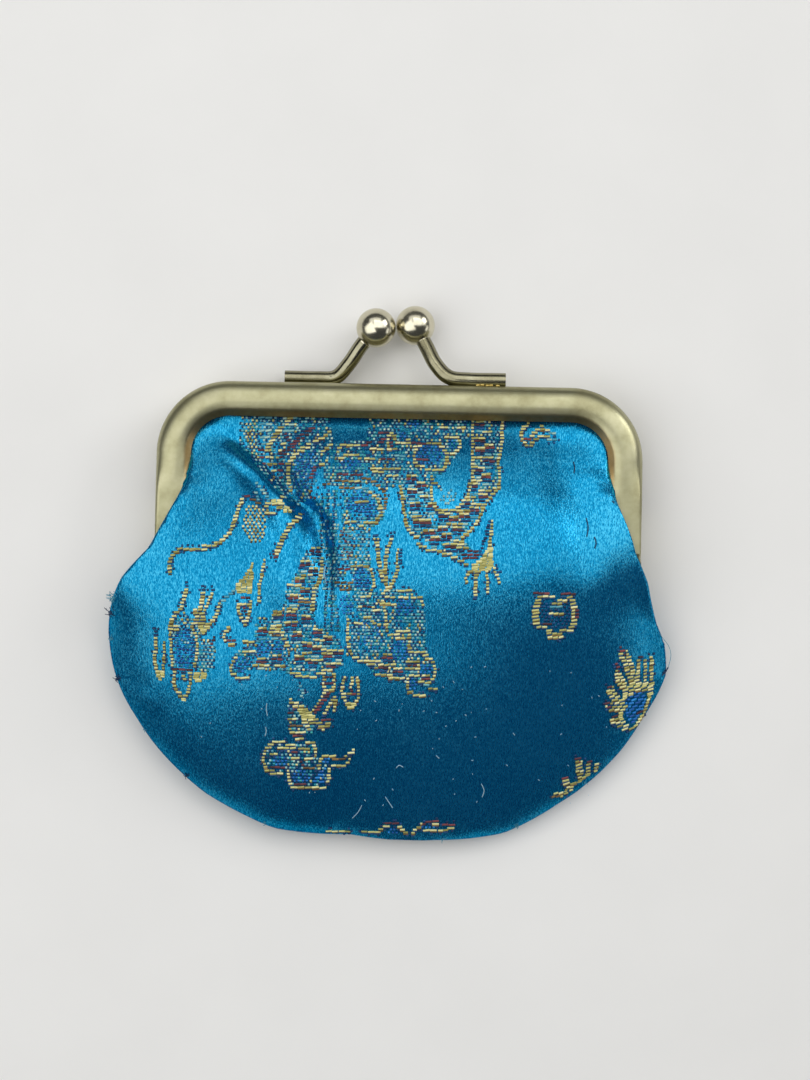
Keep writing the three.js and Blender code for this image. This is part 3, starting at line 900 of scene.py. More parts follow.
solder_front = FRONT_FACE + FOOT_RISE + SOLDER_RISE
solder_back = BACK_FACE - FOOT_RISE - SOLDER_RISE
solder_spots = [place(x, y, solder_front) for x, y in SOLDER]
solder_spots += [place(-x - SOLDER_SHIFT, y, solder_back) for x, y in SOLDER]
solder = run_tree(
    point_object("clasp_solder", solder_spots),
    solder_tree,
    {"Drop Size": SOLDER_SIZE * MM, "Metal": solder_brass},
)
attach(solder, BODY)
print("rivets", len(rivets.data.polygons), "faces, solder", len(solder.data.polygons), "faces")

# %% [markdown]
# The bag is satin: its warp threads float on top and run down the bag, so the cloth shines and
# shows fine upright streaks. Its threads mirror light off their skin and also let some in, which
# comes back deep blue from all sides. So the finish has two layers, a tinted sheen over a matt blue
# body. The real warp is finer than a tenth of a millimetre, and it is drawn coarser here so that the
# streaks show.

# %% Satin finish
WARP = 0.18
STREAK = 1.1
GRAIN = 0.46
SHEEN_SHARE = 0.7
CLOUDING = 22.0
CLOUD_SHARE = 0.3
GRAIN_SHARE = 0.5
GRAIN_LIFT = 0.55
SMOOTHEST = 0.16
ROUGHEST = 0.32
SATIN_BUMP = 0.34
SATIN_DEPTH = 0.16


def satin():
    """Blue satin: a streaked sheen with a thread-like bump, over a body of even deep blue."""
    material, tree = new_material("satin_weave_blue")
    where = add_node(tree, "ShaderNodeTexCoord")
    warp_scale = (1 / (WARP * MM), 1 / (STREAK * MM), 1 / (STREAK * MM))
    warp = add_node(
        tree, "ShaderNodeMapping", inputs={"Vector": where.outputs["Object"], "Scale": warp_scale}
    )
    streaks = add_node(
        tree,
        "ShaderNodeTexNoise",
        inputs={"Vector": warp.outputs["Vector"], "Scale": 1.0, "Detail": 3.0, "Roughness": 0.6},
    )
    grain_scale = (1 / (WARP * MM), 1 / (GRAIN * MM), 1 / (GRAIN * MM))
    fine = add_node(
        tree, "ShaderNodeMapping", inputs={"Vector": where.outputs["Object"], "Scale": grain_scale}
    )
    grain = add_node(
        tree,
        "ShaderNodeTexNoise",
        inputs={"Vector": fine.outputs["Vector"], "Scale": 1.0, "Detail": 2.0},
    )
    clouds = add_node(
        tree,
        "ShaderNodeTexNoise",
        inputs={"Vector": where.outputs["Object"], "Scale": 1 / (CLOUDING * MM), "Detail": 2.0},
    )
    mixed = add_node(
        tree,
        "ShaderNodeMix",
        {"data_type": "FLOAT"},
        {"Factor": CLOUD_SHARE, "A": streaks.outputs["Fac"], "B": clouds.outputs["Fac"]},
    )
    lustre = add_node(
        tree,
        "ShaderNodeMix",
        {"data_type": "FLOAT"},
        {"Factor": GRAIN_SHARE, "A": mixed.outputs["Result"], "B": grain.outputs["Fac"]},
    )
    shine = blend_colours(
        tree, lustre.outputs["Result"], [(0.4, "#086890"), (0.5, "#178FBA"), (0.6, "#4EC0E2")]
    )
    depth = blend_colours(tree, mixed.outputs["Result"], [(0.3, "#045892"), (0.7, "#0568A8")])
    gloss = add_node(
        tree,
        "ShaderNodeMapRange",
        inputs={
            "Value": grain.outputs["Fac"],
            "From Min": 0.3,
            "From Max": 0.7,
            "To Min": SMOOTHEST,
            "To Max": ROUGHEST,
        },
    )
    height = add_node(
        tree,
        "ShaderNodeMix",
        {"data_type": "FLOAT"},
        {"Factor": GRAIN_LIFT, "A": streaks.outputs["Fac"], "B": grain.outputs["Fac"]},
    )
    bump = add_node(
        tree,
        "ShaderNodeBump",
        inputs={
            "Strength": SATIN_BUMP,
            "Distance": SATIN_DEPTH * MM,
            "Height": height.outputs["Result"],
        },
    )
    sheen = add_node(
        tree,
        "ShaderNodeBsdfPrincipled",
        inputs={
            "Base Color": shine,
            "Metallic": 1.0,
            "Specular Tint": to_linear("#1A8FC4"),
            "Roughness": gloss.outputs["Result"],
            "Normal": bump.outputs["Normal"],
        },
    )
    body = add_node(
        tree,
        "ShaderNodeBsdfPrincipled",
        inputs={"Base Color": depth, "Specular IOR Level": 0.0},
    )
    layers = add_node(
        tree,
        "ShaderNodeMixShader",
        inputs={0: SHEEN_SHARE, 1: body.outputs["BSDF"], 2: sheen.outputs["BSDF"]},
    )
    add_node(tree, "ShaderNodeOutputMaterial", inputs={"Surface": layers.outputs["Shader"]})
    return material


satin_blue = satin()
print("cloth finish:", satin_blue.name)

# %% [markdown]
# Front and back panel keep the CAD model's true shape. A copy of each solid is merged, turned back
# into quads and subdivided, which rounds its edges as folded cloth. Then its points are pushed: the
# long crease gets sharper, the top puckers where the frame grips it, the cloth swells beside the
# legs, and the seam ripples and lies a little off its drawn line, as sewn seams do. A simulation
# would not settle into these folds, so none is used.

# %% Long folds of the front
CREASE = [(-33, 8.0), (-28, 10.8), (-23.2, 14.5), (-20.0, 18.0), (-17.0, 21.4)]
CREASE_START = 0.12
CREASE_TAPER = 0.85
CREASE_DEPTH = 1.8
CREASE_NEAR = 0.9
CREASE_FAR = 2.6
RIDGE_HEIGHT = 0.7
RIDGE_GAP = 2.3
RIDGE_HALF = 1.0
GROOVE = [(-16.4, 21), (-13.2, 24), (-11.8, 30), (-11.4, 38)]
GROOVE_START = 0.2
GROOVE_TAPER = 0.7
GROOVE_DEPTH = 2.2
GROOVE_NEAR = 2.2
GROOVE_FAR = 0.8
GROOVE_RIDGE = 0.8
GROOVE_GAP = 3.8
GROOVE_RIDGE_HALF = 1.6


def distance_to(path, x, y):
    """Distance from a point to a path, the share of the path there, and its side, 1 or -1."""
    best = (math.inf, 0.0, 1)
    for k, ((ax, ay), (bx, by)) in enumerate(zip(path, path[1:])):
        span = (bx - ax) ** 2 + (by - ay) ** 2
        t = limited(((x - ax) * (bx - ax) + (y - ay) * (by - ay)) / span)
        gap = math.hypot(x - ax - t * (bx - ax), y - ay - t * (by - ay))
        side = 1 if (x - ax) * (by - ay) - (y - ay) * (bx - ax) > 0 else -1
        best = min(best, (gap, (k + t) / (len(path) - 1), side))
    return best


def long_folds(x, y):
    """How far the long crease and the groove below it, each with its ridge, push the cloth."""
    gap, share, side = distance_to(CREASE, x, y)
    envelope = math.sin(math.pi * CREASE_TAPER * max(share - CREASE_START, 0.0) / (1 - CREASE_START))
    reach = CREASE_FAR if side > 0 else CREASE_NEAR
    shift = -CREASE_DEPTH * envelope * math.exp(-((gap / reach) ** 2))
    if side < 0:
        shift += RIDGE_HEIGHT * envelope * math.exp(-(((gap - RIDGE_GAP) / RIDGE_HALF) ** 2))
    gap, share, side = distance_to(GROOVE, x, y)
    envelope = math.sin(math.pi * (GROOVE_START + GROOVE_TAPER * share))
    reach = GROOVE_FAR if side > 0 else GROOVE_NEAR
    shift -= GROOVE_DEPTH * envelope * math.exp(-((gap / reach) ** 2))
    if side < 0:
        shift += GROOVE_RIDGE * envelope * math.exp(-(((gap - GROOVE_GAP) / GROOVE_RIDGE_HALF) ** 2))
    return shift


print(f"crease pushes its middle by {long_folds(*CREASE[2]):.1f} mm")

# %% Cloth beside the legs
PUFF = [
    # down, and how far the cloth swells at the lip there
    (6, 0), (8, 0.6), (10, 0.95), (12, 1.3), (14, 1.7), (15, 2.0), (16, 2.15), (17, 1.98), (18, 1.3),
    (19, 0.6), (20, 0.18), (21, 0),
]
PUFF_CURVE = 1.25
PUFF_INSIDE = 27.0
PUFF_FULL = 36.3
PUFF_END = 37.3
LEG_SPOT = (37.0, 17.3)
LEG_BEFORE = 5.0
LEG_FADE = 4.0
LEG_REACH = 1.8


def under_lip(x):
    """1 where cloth is free and 0 where it has gone under the lip beside a leg."""
    return limited((PUFF_END - abs(x)) / (PUFF_END - PUFF_FULL))


def leg_puff(x, y):
    """How far cloth swells beside the legs, where it comes out from under the lip."""
    swell = float(np.interp(y, *zip(*PUFF)))
    inward = limited((abs(x) - PUFF_INSIDE) / (PUFF_FULL - PUFF_INSIDE))
    return swell * inward**PUFF_CURVE * under_lip(x)


def leg_fill(x, y):
    """How much of the full push cloth gets where it swells out below the channel's end, 0 to 1."""
    inward = limited((abs(x) - LEG_SPOT[0] + LEG_BEFORE) / LEG_FADE)
    return inward * math.exp(-(((y - LEG_SPOT[1]) / LEG_REACH) ** 2))


print(f"cloth swells by {leg_puff(PUFF_FULL, LEG_SPOT[1]):.1f} mm beside the legs")

# %% Puckers at the frame and the seam
BAG_TOP = 5.6
BAG_SIDE = 44.5
BAG_BOTTOM = 79.7
BAG_HALF = 49.0
GRIP_WAVE = 3.1
GRIP_LENGTH = 14.0
GRIP_DEPTH = 0.22
GRIP_START = 1.5
GRIP_REACH = 9.0
SEAM_WAVE = 4.2
SEAM_DEPTH = 0.25
SEAM_REACH = 5.0
FRONT_SEEDS = (3.0, 11.0)
BACK_SEEDS = (7.0, 19.0)


def seam_share(x, y):
    """0 in the middle of the lower bag and 1 at the seam."""
    if y < BAG_SIDE:
        return 0.0
    return min(math.hypot(x / BAG_HALF, (y - BAG_SIDE) / (BAG_BOTTOM - BAG_SIDE)), 1.0)


def pushed(x, y, front):
    """How far cloth is pushed out of its smooth shape, in millimetres."""
    grip_seed, seam_seed = FRONT_SEEDS if front else BACK_SEEDS
    shift = long_folds(x, y) + leg_puff(x, y) if front else 0.0
    grip = max(0.0, 1 - (y - BAG_TOP) / GRIP_REACH) * limited((y - BAG_TOP) / GRIP_START)
    wave = noise.noise(Vector((x / GRIP_WAVE, y / GRIP_LENGTH, grip_seed)))
    shift += GRIP_DEPTH * grip * wave
    near_seam = max(0.0, (seam_share(x, y) - 1) * BAG_HALF / SEAM_REACH + 1)
    turn = math.atan2(y - BAG_SIDE, x) * BAG_HALF
    ripple = noise.noise(Vector((turn / SEAM_WAVE, 0.0, seam_seed)))
    shift += SEAM_DEPTH * near_seam * (1 - near_seam) * 4 * ripple
    return shift


print(f"bag {2 * BAG_HALF:.0f} mm wide and {BAG_BOTTOM:.0f} mm down to its seam")

# %% Ease of the seam
EASE_MIDDLE = (-2.0, 41.2)
EASE_INSIDE = 0.62
EASE_SECTOR = 3.0
SEAM_EASE = [
    # degrees round the bag's middle from its right side, and how far the seam lies outside its
    # drawn line
    (-30, 0), (-16, -1.2), (-9, -0.2), (0, -0.5), (10, 1.2), (20, 0.3), (46, 0.7), (60, 1.7), (76, 0.7),
    (98, 0.5), (117, 2.9), (135, 2.4), (157, 0.4), (188, 0), (196, -1.2), (210, 0),
]


def eased(corners):
    """Corners across and down, with the seam let out or drawn in by the table; the middle stays."""
    away = corners - EASE_MIDDLE
    reach = np.hypot(away[:, 0], away[:, 1])
    turn = (np.degrees(np.arctan2(away[:, 1], away[:, 0])) + 90) % 360 - 90
    rim = np.zeros(int(360 / EASE_SECTOR))
    np.maximum.at(rim, ((turn + 90) // EASE_SECTOR).astype(int), reach)
    middles = EASE_SECTOR * (np.arange(len(rim)) + 0.5) - 90
    share = reach / np.interp(turn, middles, rim, period=360)
    rise = np.clip((share - EASE_INSIDE) / (1 - EASE_INSIDE), 0, 1)
    push = np.interp(turn, *zip(*SEAM_EASE)) * rise * rise * (3 - 2 * rise)
    return corners + away * (push / reach)[:, None]


print("seam eased by up to", max(ease for _, ease in SEAM_EASE), "mm")

# %% Build the panels
CAD_MERGE = 0.001
QUAD_BEND = math.radians(50)
QUAD_SKEW = math.radians(70)
RIM_ANGLE = math.radians(50)
RIM_CREASE = 0.85
ROUNDING = 2
LEG_FILL = 0.6
LEG_RISE = 0.8


def quad_mesh(node, name):
    """A copy of a CAD solid's mesh, merged and turned back into quads, with its rim creased."""
    shape = bmesh.new()
    shape.from_mesh(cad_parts[node].data)
    bmesh.ops.remove_doubles(shape, verts=shape.verts, dist=CAD_MERGE * MM)
    bmesh.ops.join_triangles(
        shape, faces=shape.faces, angle_face_threshold=QUAD_BEND, angle_shape_threshold=QUAD_SKEW
    )
    crease = shape.edges.layers.float.new("crease_edge")
    for edge in shape.edges:
        if len(edge.link_faces) == 2 and edge.calc_face_angle() > RIM_ANGLE:
            edge[crease] = RIM_CREASE
    mesh = bpy.data.meshes.new(name)
    shape.to_mesh(mesh)
    shape.free()
    return mesh


def cloth_panel(node, name, front):
    """A soft copy of a CAD panel."""
    panel = new_piece(name, quad_mesh(node, name), satin_blue)
    rounding = panel.modifiers.new("rounding", "SUBSURF")
    rounding.levels = ROUNDING
    rounding.render_levels = ROUNDING
    panel.data = plain_mesh(panel)
    drawn = np.array([(v.co.x / MM - MIDDLE_X, TOP_Y - v.co.y / MM) for v in panel.data.vertices])
    for vertex, (x, y), (new_x, new_y) in zip(panel.data.vertices, drawn, eased(drawn)):
        fill = leg_fill(x, y) if front else 0.0
        rise = pushed(x, y, front) * (1 if front else -1) + LEG_RISE * fill * (1 - under_lip(x))
        new_x += LEG_FILL * fill * (1 if x > 0 else -1)
        vertex.co = place(new_x, new_y, vertex.co.z / MM + rise)
    panel.data.shade_smooth()
    return panel


PANELS = [("bag_front_panel", "front_cloth", True), ("bag_back_panel", "back_cloth", False)]
panels = {}
for node, name, front in PANELS:
    panels[name] = cloth_panel(node, name, front)
    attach(panels[name], BODY)
    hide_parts(node)
    area = sum(f.area for f in panels[name].data.polygons) / 2
    print(name, len(panels[name].data.polygons), "faces, one side", round(area * 1e6), "mm2")

# %% [markdown]
# The figures are brocade: on each weft row extra coloured threads come to the face and float over
# a few warp threads, then dive back. So a steep line is a row of dots and a flat line is a row of
# dashes. The loom reads a point paper, a grid of rows and warp steps, and so does this script.
# The figures are charted as strokes and filled shapes, painted on the grid, and each run of cells
# in one colour becomes one float. First comes the grid and its brushes.

# %% Point paper
ROW = 0.58
STEP = 0.18
PAPER_MARGIN = 1.0
PAPER_TOP = BAG_TOP - 0.5
WEAVE_SEED = 7
PAPER_ACROSS = np.arange(-BAG_HALF - PAPER_MARGIN, BAG_HALF + PAPER_MARGIN, STEP)
PAPER_DOWN = np.arange(PAPER_TOP, BAG_BOTTOM + PAPER_MARGIN, ROW)
THREADS = ["ground", "gold", "maroon", "blue", "navy", "teal", "pale", "copper"]
across_grid, down_grid = np.meshgrid(PAPER_ACROSS, PAPER_DOWN)
column_grid, row_grid = np.meshgrid(np.arange(len(PAPER_ACROSS)), np.arange(len(PAPER_DOWN)))
paper = np.zeros(across_grid.shape, int)
solid = np.zeros(across_grid.shape, bool)
weaver = np.random.default_rng(WEAVE_SEED)
print("point paper:", paper.shape, "rows and steps")

# %% Brushes for strokes and shapes
STROKE_STEPS = 4
OVAL_POINTS = 17


def stroke_cells(points, width):
    """Cells within half a width of a path; a flat dash takes the nearest row."""
    downs = [y for _, y in points]
    if max(downs) - min(downs) < ROW / 2 and width < 2 * ROW:
        row = PAPER_TOP + ROW * round((sum(downs) / len(downs) - PAPER_TOP) / ROW)
        points = [(x, row) for x, _ in points]
    width = max(width, ROW)
    near = np.zeros(paper.shape, bool)
    for (ax, ay), (bx, by) in zip(points, points[1:]):
        span = max((bx - ax) ** 2 + (by - ay) ** 2, 1e-9)
        t = np.clip(((across_grid - ax) * (bx - ax) + (down_grid - ay) * (by - ay)) / span, 0, 1)
        gap = np.hypot(across_grid - ax - t * (bx - ax), down_grid - ay - t * (by - ay))
        near |= gap <= width / 2
    return near


def shape_cells(points):
    """Cells inside a closed shape."""
    inside = np.zeros(paper.shape, bool)
    for (ax, ay), (bx, by) in zip(points, points[1:] + points[:1]):
        if ay == by:
            continue
        crosses = (ay > down_grid) != (by > down_grid)
        inside ^= crosses & (across_grid < (bx - ax) * (down_grid - ay) / (by - ay) + ax)
    return inside


def oval(x, y, half_across, half_down, start=0, stop=360):
    """Points round an oval, clockwise from its right side, in degrees."""
    turns = np.radians(np.linspace(start, stop, OVAL_POINTS))
    return [(x + half_across * math.cos(t), y + half_down * math.sin(t)) for t in turns]


print("a round of 4 mm covers", int(shape_cells(oval(0, BAG_SIDE, 2, 2)).sum()), "cells")

# %% Weaves and paint
HALO = 0.7
HALO_SHARE = 0.14
DOT_SHARE = 0.5
GOLD_FROM = 0.86
TEAL_FROM = 0.7
WEAVES = {
    # which cells of a filled shape the thread comes up in: a repeat, or a share at random
    "satin": (column_grid + 3 * row_grid) % 7 < 6,
    "solid": row_grid >= 0,
    "stripe": column_grid % 6 < 2,
    "check": (column_grid // 2 + row_grid) % 2 == 0,
    "rib": row_grid % 2 == 0,
    "dots": ((column_grid + 2 * (row_grid % 2)) % 4) < 2,
    "speckle": 0.13,
    "scatter": 0.08,
}


def paint(thread, figures):
    """Paints strokes, given with a width, and filled shapes, given with a weave, in one thread. A
    few navy dots fall beside each stroke."""
    for kind, points in figures:
        if isinstance(kind, str):
            weave = WEAVES[kind]
            if isinstance(weave, float):
                weave = weaver.random(paper.shape) < weave
            cells = shape_cells(points) & weave
            solid[cells] = kind == "solid"
        else:
            path = smooth_path(points, STROKE_STEPS) if len(points) > 2 else points
            cells = stroke_cells(path, kind)
            chosen = weaver.random(paper.shape) < HALO_SHARE
            paper[stroke_cells(path, kind + HALO) & chosen & (paper == 0)] = THREADS.index("navy")
        paper[cells] = THREADS.index(thread)


def tweed(region):
    """Fills a shape with the figure's ground: pale and dark dots by turns, with some left out."""
    inside = shape_cells(region)
    pick = weaver.random(paper.shape)[row_grid, column_grid // 2]
    even = WEAVES["check"]
    paper[inside & even & (pick < DOT_SHARE)] = THREADS.index("pale")
    paper[inside & even & (pick > GOLD_FROM)] = THREADS.index("gold")
    paper[inside & ~even & (pick < DOT_SHARE)] = THREADS.index("navy")
    paper[inside & ~even & (pick > TEAL_FROM)] = THREADS.index("teal")


print("weaves:", sorted(WEAVES))

# %% [markdown]
# A dragon among clouds fills the middle of the front. Its body is two rows of scales with dotted
# outlines, so a thin speckle goes down first, then the scales, and the outlines last.

# %% Chart the dragon's ground and fills
HEAD = [
    (-11.6, 10.6), (-6, 9.8), (-5.4, 6), (12, 6), (12, 9), (9.5, 13), (7, 16), (5.2, 17.5), (0.2, 17.4),
    (-2.4, 19), (-5, 17.6), (-13, 18.4), (-13, 14),
]
NECK = [
    (-10.4, 18.5), (-6.8, 18.2), (-2.6, 19.5), (-2.4, 23.5), (-4.8, 25.5), (-4.6, 31.5), (-3.8, 36.5),
    (-8.5, 37), (-10.6, 34), (-10.2, 28), (-9.6, 23),
]
COIL = [
    (0.4, 17.6), (0.8, 21.5), (1.7, 25), (3.4, 26.9), (6.6, 28.8), (11, 30.6), (13.6, 29.6), (11, 26.6),
    (13.4, 24), (15, 20.8), (17.2, 17.6), (17.6, 6), (12.8, 6), (12.7, 15.5), (11.6, 19.8), (9.6, 22),
    (8, 22.3), (6.6, 21.8), (5.8, 20), (5.5, 17.4),
]
CLOUDS = [
    (-8.4, 36.6), (-4.6, 36), (0, 35.5), (4.4, 36.8), (5, 41), (5.4, 46.5), (6.8, 48), (6.8, 51), (3, 52),
    (-3, 50.6), (-5, 48.6), (-8.3, 47), (-8.6, 42),
]
BELLY = [
    (-15.6, 29.2), (-13.4, 29), (-12.8, 33), (-14.2, 38), (-13.6, 42), (-9.4, 44.5), (-9, 48.6), (-12, 50.4),
    (-17, 50.6), (-24, 49.6), (-28, 51), (-28.2, 48), (-24.2, 44.6), (-23.8, 41), (-19.6, 40.4), (-18.8, 36),
    (-16.8, 32),
]
FAN_FILL = [(-18.2, 12.8), (-14.6, 12), (-14, 17), (-16.4, 19.6), (-18.4, 18)]
FAN = [
    (-28, 6.2), (-12.4, 6.2), (-11.6, 11), (-14, 14.4), (-14.6, 18), (-15.4, 20.4), (-18.2, 22),
    (-21.8, 18.2), (-25.4, 14.2), (-28.2, 11),
]
NECK_SIDE = [
    (-14.2, 19.5), (-10.6, 18.5), (-10.2, 24), (-10.4, 37), (-9.4, 43), (-12.4, 43), (-12.6, 36),
    (-13.4, 29), (-13.8, 24),
]
for region in (HEAD, NECK, COIL, CLOUDS, BELLY, FAN):
    tweed(region)
paint("navy", [("stripe", NECK_SIDE)])
paint("teal", [("speckle", NECK_SIDE)])
paint("pale", [("speckle", NECK_SIDE)])
paint("blue", [("check", FAN_FILL)])
paint("navy", [("speckle", FAN_FILL), ("scatter", [(-27, 6), (-13, 6), (-17, 19), (-23, 16)])])
paint("pale", [
    ("speckle", [(-18.4, 6), (-12.8, 6), (-14, 8), (-18.2, 11)]), ("scatter", FAN_FILL),
    ("rib", [(-24.6, 6), (-22.6, 6), (-22.4, 9), (-23.2, 11), (-24, 11.2), (-24.8, 9)]),
    ("rib", [(-20.6, 6), (-18.4, 6), (-18.4, 9), (-19.6, 11), (-20.4, 9)]),
    ("rib", [(-9.8, 25), (-8, 25), (-7.6, 31), (-9.6, 31)]),
    ("dots", [(-6.6, 25.5), (-5.5, 25.5), (-5, 31), (-6.4, 31)]), ("speckle", oval(8, 19.4, 1.9, 1.6)),
    ("speckle", oval(-4.6, 43.4, 3.3, 3.6)), ("speckle", [(-7.6, 37), (-5, 36), (-4, 40), (-8, 41)]),
])
paint("blue", [
    ("check", oval(5.2, 12.4, 2.5, 1.9)), ("check", oval(9.1, 10.3, 0.9, 1)),
    ("check", oval(2.6, 6.9, 1, 0.8)), ("check", oval(0.4, 9, 0.9, 0.7)),
    ("check", oval(-8.4, 14.2, 1.8, 0.9)),
    ("check", [
        (-8.6, 20), (-7, 18.7), (-5.2, 19.3), (-3.9, 21), (-3.5, 23), (-4.6, 23.6), (-6, 23.1),
        (-8, 22.9), (-9, 21.5),
    ]),
    ("check", oval(-5.9, 34, 1.5, 1.9)), ("check", oval(-8.6, 38.4, 1.2, 1.6)),
    ("check", oval(1.3, 38.8, 1.4, 1.5)), ("speckle", oval(-4.6, 43.2, 2.6, 2.8)),
    ("check", oval(0.6, 46.2, 1.6, 1.8)), ("check", oval(5.2, 49.3, 1.2, 1.2)),
    ("check", oval(3, 51.9, 0.8, 1)), ("check", oval(-22.6, 46.6, 1.2, 1.7)),
    ("check", oval(-20.2, 46.6, 1, 1.6)), ("check", oval(-26.5, 49, 1.4, 1.5)),
])
print("cells painted:", int((paper > 0).sum()))

# %% Chart the tail fan, the beard rope and the claws
paint("gold", [
    ("dots", [(-27, 7), (-25.4, 6.6), (-25, 11), (-24.4, 13.6), (-25.6, 12.6), (-26.8, 10)]),
    ("rib", [(-23.6, 11.6), (-22.4, 11.4), (-21.2, 15.8), (-22, 16.2), (-23.4, 14)]),
    ("rib", [(-20.6, 10.6), (-19.9, 10.8), (-20.7, 13), (-21, 15.5), (-21.8, 15.2), (-21.4, 12.6)]),
    (1.1, [(-20.8, 8), (-21.8, 9.6), (-22.9, 11.3)]), (0.9, [(-19.3, 6.2), (-19.9, 7.2)]),
    (0.9, [(-15.8, 11.1), (-17.2, 12), (-18.4, 13.2), (-19.1, 14.6), (-19.2, 16.6), (-18.8, 18.8)]),
    (0.6, [(-12.3, 8.6), (-13.4, 9.6), (-15, 10.5)]), (0.6, [(-12, 10.9), (-13.4, 12.2)]),
    (0.6, [(-12.6, 14), (-13.6, 14.4)]), (0.8, [(-23, 21.7), (-21.4, 21.1), (-20.2, 20.4)]),
    (0.9, [(-21.2, 21.3), (-20.2, 21.9), (-18.8, 22.4)]), (0.7, [(-22.6, 23.2), (-21.4, 22.9)]),
    ("dots", [
        (-26.2, 21.4), (-22.6, 22.4), (-22.8, 26), (-23.4, 28), (-25, 28.3), (-26.8, 25.6), (-26.4, 23),
    ]),
    (0.75, [
        (-27, 20.8), (-27.7, 23), (-28.4, 25.4), (-29.5, 27.2), (-31.5, 28.7), (-34, 29.3), (-37, 29.4),
        (-38.7, 30.7), (-39.3, 32.2), (-39.1, 33.4),
    ]),
    (0.95, [(-17, 23.4), (-18.3, 24.8), (-19.5, 26.7), (-20.3, 28.6), (-20.8, 30)]),
    ("solid", [(-24.7, 31.5), (-24.6, 34), (-24.8, 36.7), (-27.4, 36.5), (-27.8, 35.5), (-26.3, 34)]),
    (0.6, [(-22.7, 31.4), (-23.2, 34), (-23.6, 36.5), (-23.4, 38.4)]),
    (0.6, [(-27, 38.5), (-25.2, 38.5)]), (0.5, [(-27.2, 38.6), (-26.8, 40.5), (-25.9, 42.2)]),
    (0.5, [(-25, 38), (-25.1, 40), (-25.8, 42.2)]),
    (0.55, [(-28.6, 42.8), (-29.4, 43.8), (-29.3, 45), (-28.2, 45.7), (-27.6, 46)]),
])
paint("maroon", [
    ("rib", [(-25, 11.4), (-23.8, 11), (-23, 15.6), (-24.3, 14)]),
    ("rib", [(-21, 13.4), (-19.8, 13.6), (-20.2, 17.6), (-21.4, 16.2)]),
    (0.95, [(-15.2, 7.9), (-17.2, 9.6), (-19, 11.5), (-20.6, 12.9)]),
    (0.7, [(-19.9, 9.4), (-19.3, 10.4)]), (0.8, [(-14.6, 15), (-15.2, 16.8)]),
    ("speckle", [(-15.6, 18), (-14, 18), (-13.6, 21), (-15.4, 21)]),
    (0.55, [(-26.4, 20.3), (-25, 20.6)]), (0.55, [(-21.3, 30.2), (-20.6, 30.8)]),
    (0.6, [(-26.5, 37.4), (-25.2, 37.8)]), (0.6, [(-26.1, 39.2), (-25.7, 40.6)]),
    (0.55, [(-28.9, 44.9), (-27.6, 45.2)]),
])
paint("gold", [
    ("solid", [
        (-22, 20.6), (-20.6, 20.2), (-19.8, 21.2), (-18.6, 22), (-18.8, 22.9), (-20.4, 22.3),
        (-21.6, 21.6),
    ]),
])
paint("copper", [(0.7, [(-25, 20.8), (-24, 21.3)])])
paint("pale", [
    (0.55, [(-24.6, 18), (-23.4, 19.2), (-22.4, 20.6)]), (0.55, [(-24.8, 19.4), (-24.2, 20.6)]),
    (0.55, [(-27.9, 36.5), (-29.2, 37.7), (-30.1, 38.5)]),
])
print("cells painted:", int((paper > 0).sum()))

# %% Chart the head and the scroll
paint("gold", [
    (0.6, [(-10.8, 12), (-9.7, 11), (-7.2, 10.9)]),
    (0.55, [(-10.4, 13.2), (-9, 12.7), (-7.6, 12.6), (-6.8, 13.2)]), (0.55, [(-5.8, 13), (-4.4, 13)]),
    (0.55, [(-3.2, 12.9), (-1, 13)]),
    (0.7, [(-2.2, 8.9), (-1, 9), (-0.6, 10), (0.4, 10.5), (1.2, 10.4)]),
    (0.55, [(-2.2, 9.3), (-1.9, 10.8), (-1.5, 11.6), (-0.9, 11.2)]), (0.55, [(-5, 11.3), (-3, 11.2)]),
    (0.6, [(1.4, 9.6), (2.4, 10.6), (3.6, 10.9)]),
    (0.75, [(5, 10.2), (7, 10.6), (7.9, 11.6), (8.3, 12.8), (8, 14), (7.3, 15), (5.4, 15)]),
    (0.55, [(3.2, 11), (2.6, 12), (2.6, 13), (2.9, 14.2), (5, 14.8)]),
    (0.6, [(8, 9.1), (10, 9.2), (10.5, 10.6), (9.9, 11.6), (8.8, 12)]),
    (0.55, [(7.2, 7.2), (8.2, 7.1)]), (0.55, [(10.2, 7.3), (11.2, 7.2)]),
    (0.6, [(-4.8, 14.9), (-2.6, 14.9)]), (0.6, [(-2.2, 15), (0, 14.9)]),
    (0.6, [(-4.4, 15.8), (-2.8, 15.8)]), (0.6, [(-2, 15.8), (-0.4, 15.9)]),
    (0.55, [(-8.2, 17), (-6.8, 17)]),
    (0.5, [(-5, 19), (-3.8, 20), (-3.1, 21.4), (-2.8, 22.6), (-3.4, 23.6)]),
    (0.6, [(-3.4, 24), (-4.8, 24.1), (-6.4, 24.8)]), (0.55, [(-7.4, 24), (-8.9, 24)]),
    (0.55, [(-7.4, 20.6), (-5.4, 20.5)]), (0.7, [(-7.6, 31.9), (-5, 31.6)]),
    (0.5, [(-4.4, 32.5), (-3.9, 34.5), (-4.4, 36.3)]),
])
paint("maroon", [
    (0.7, [(-3.6, 8.8), (-2.2, 8.5)]), (0.8, [(-3.4, 10.4), (-2.8, 9.8)]),
    (0.6, [(-1.6, 10), (-1.4, 10.8)]), (0.7, [(-6.4, 11), (-5, 10.3)]),
    (0.5, [(-3, 13.5), (-1.6, 13.5)]), (0.55, [(-8.2, 15.8), (-6.4, 15.9)]),
    (0.55, [(-10.6, 16.2), (-9, 16.2)]), (0.6, [(2.2, 10), (4.4, 10.1)]),
    (0.6, [(3.2, 13), (4.6, 13.2)]), ("speckle", [(-9.8, 25), (-8, 25), (-7.6, 31), (-9.6, 31)]),
    (1, [(-9.6, 32.3), (-8.4, 32.3)]),
])
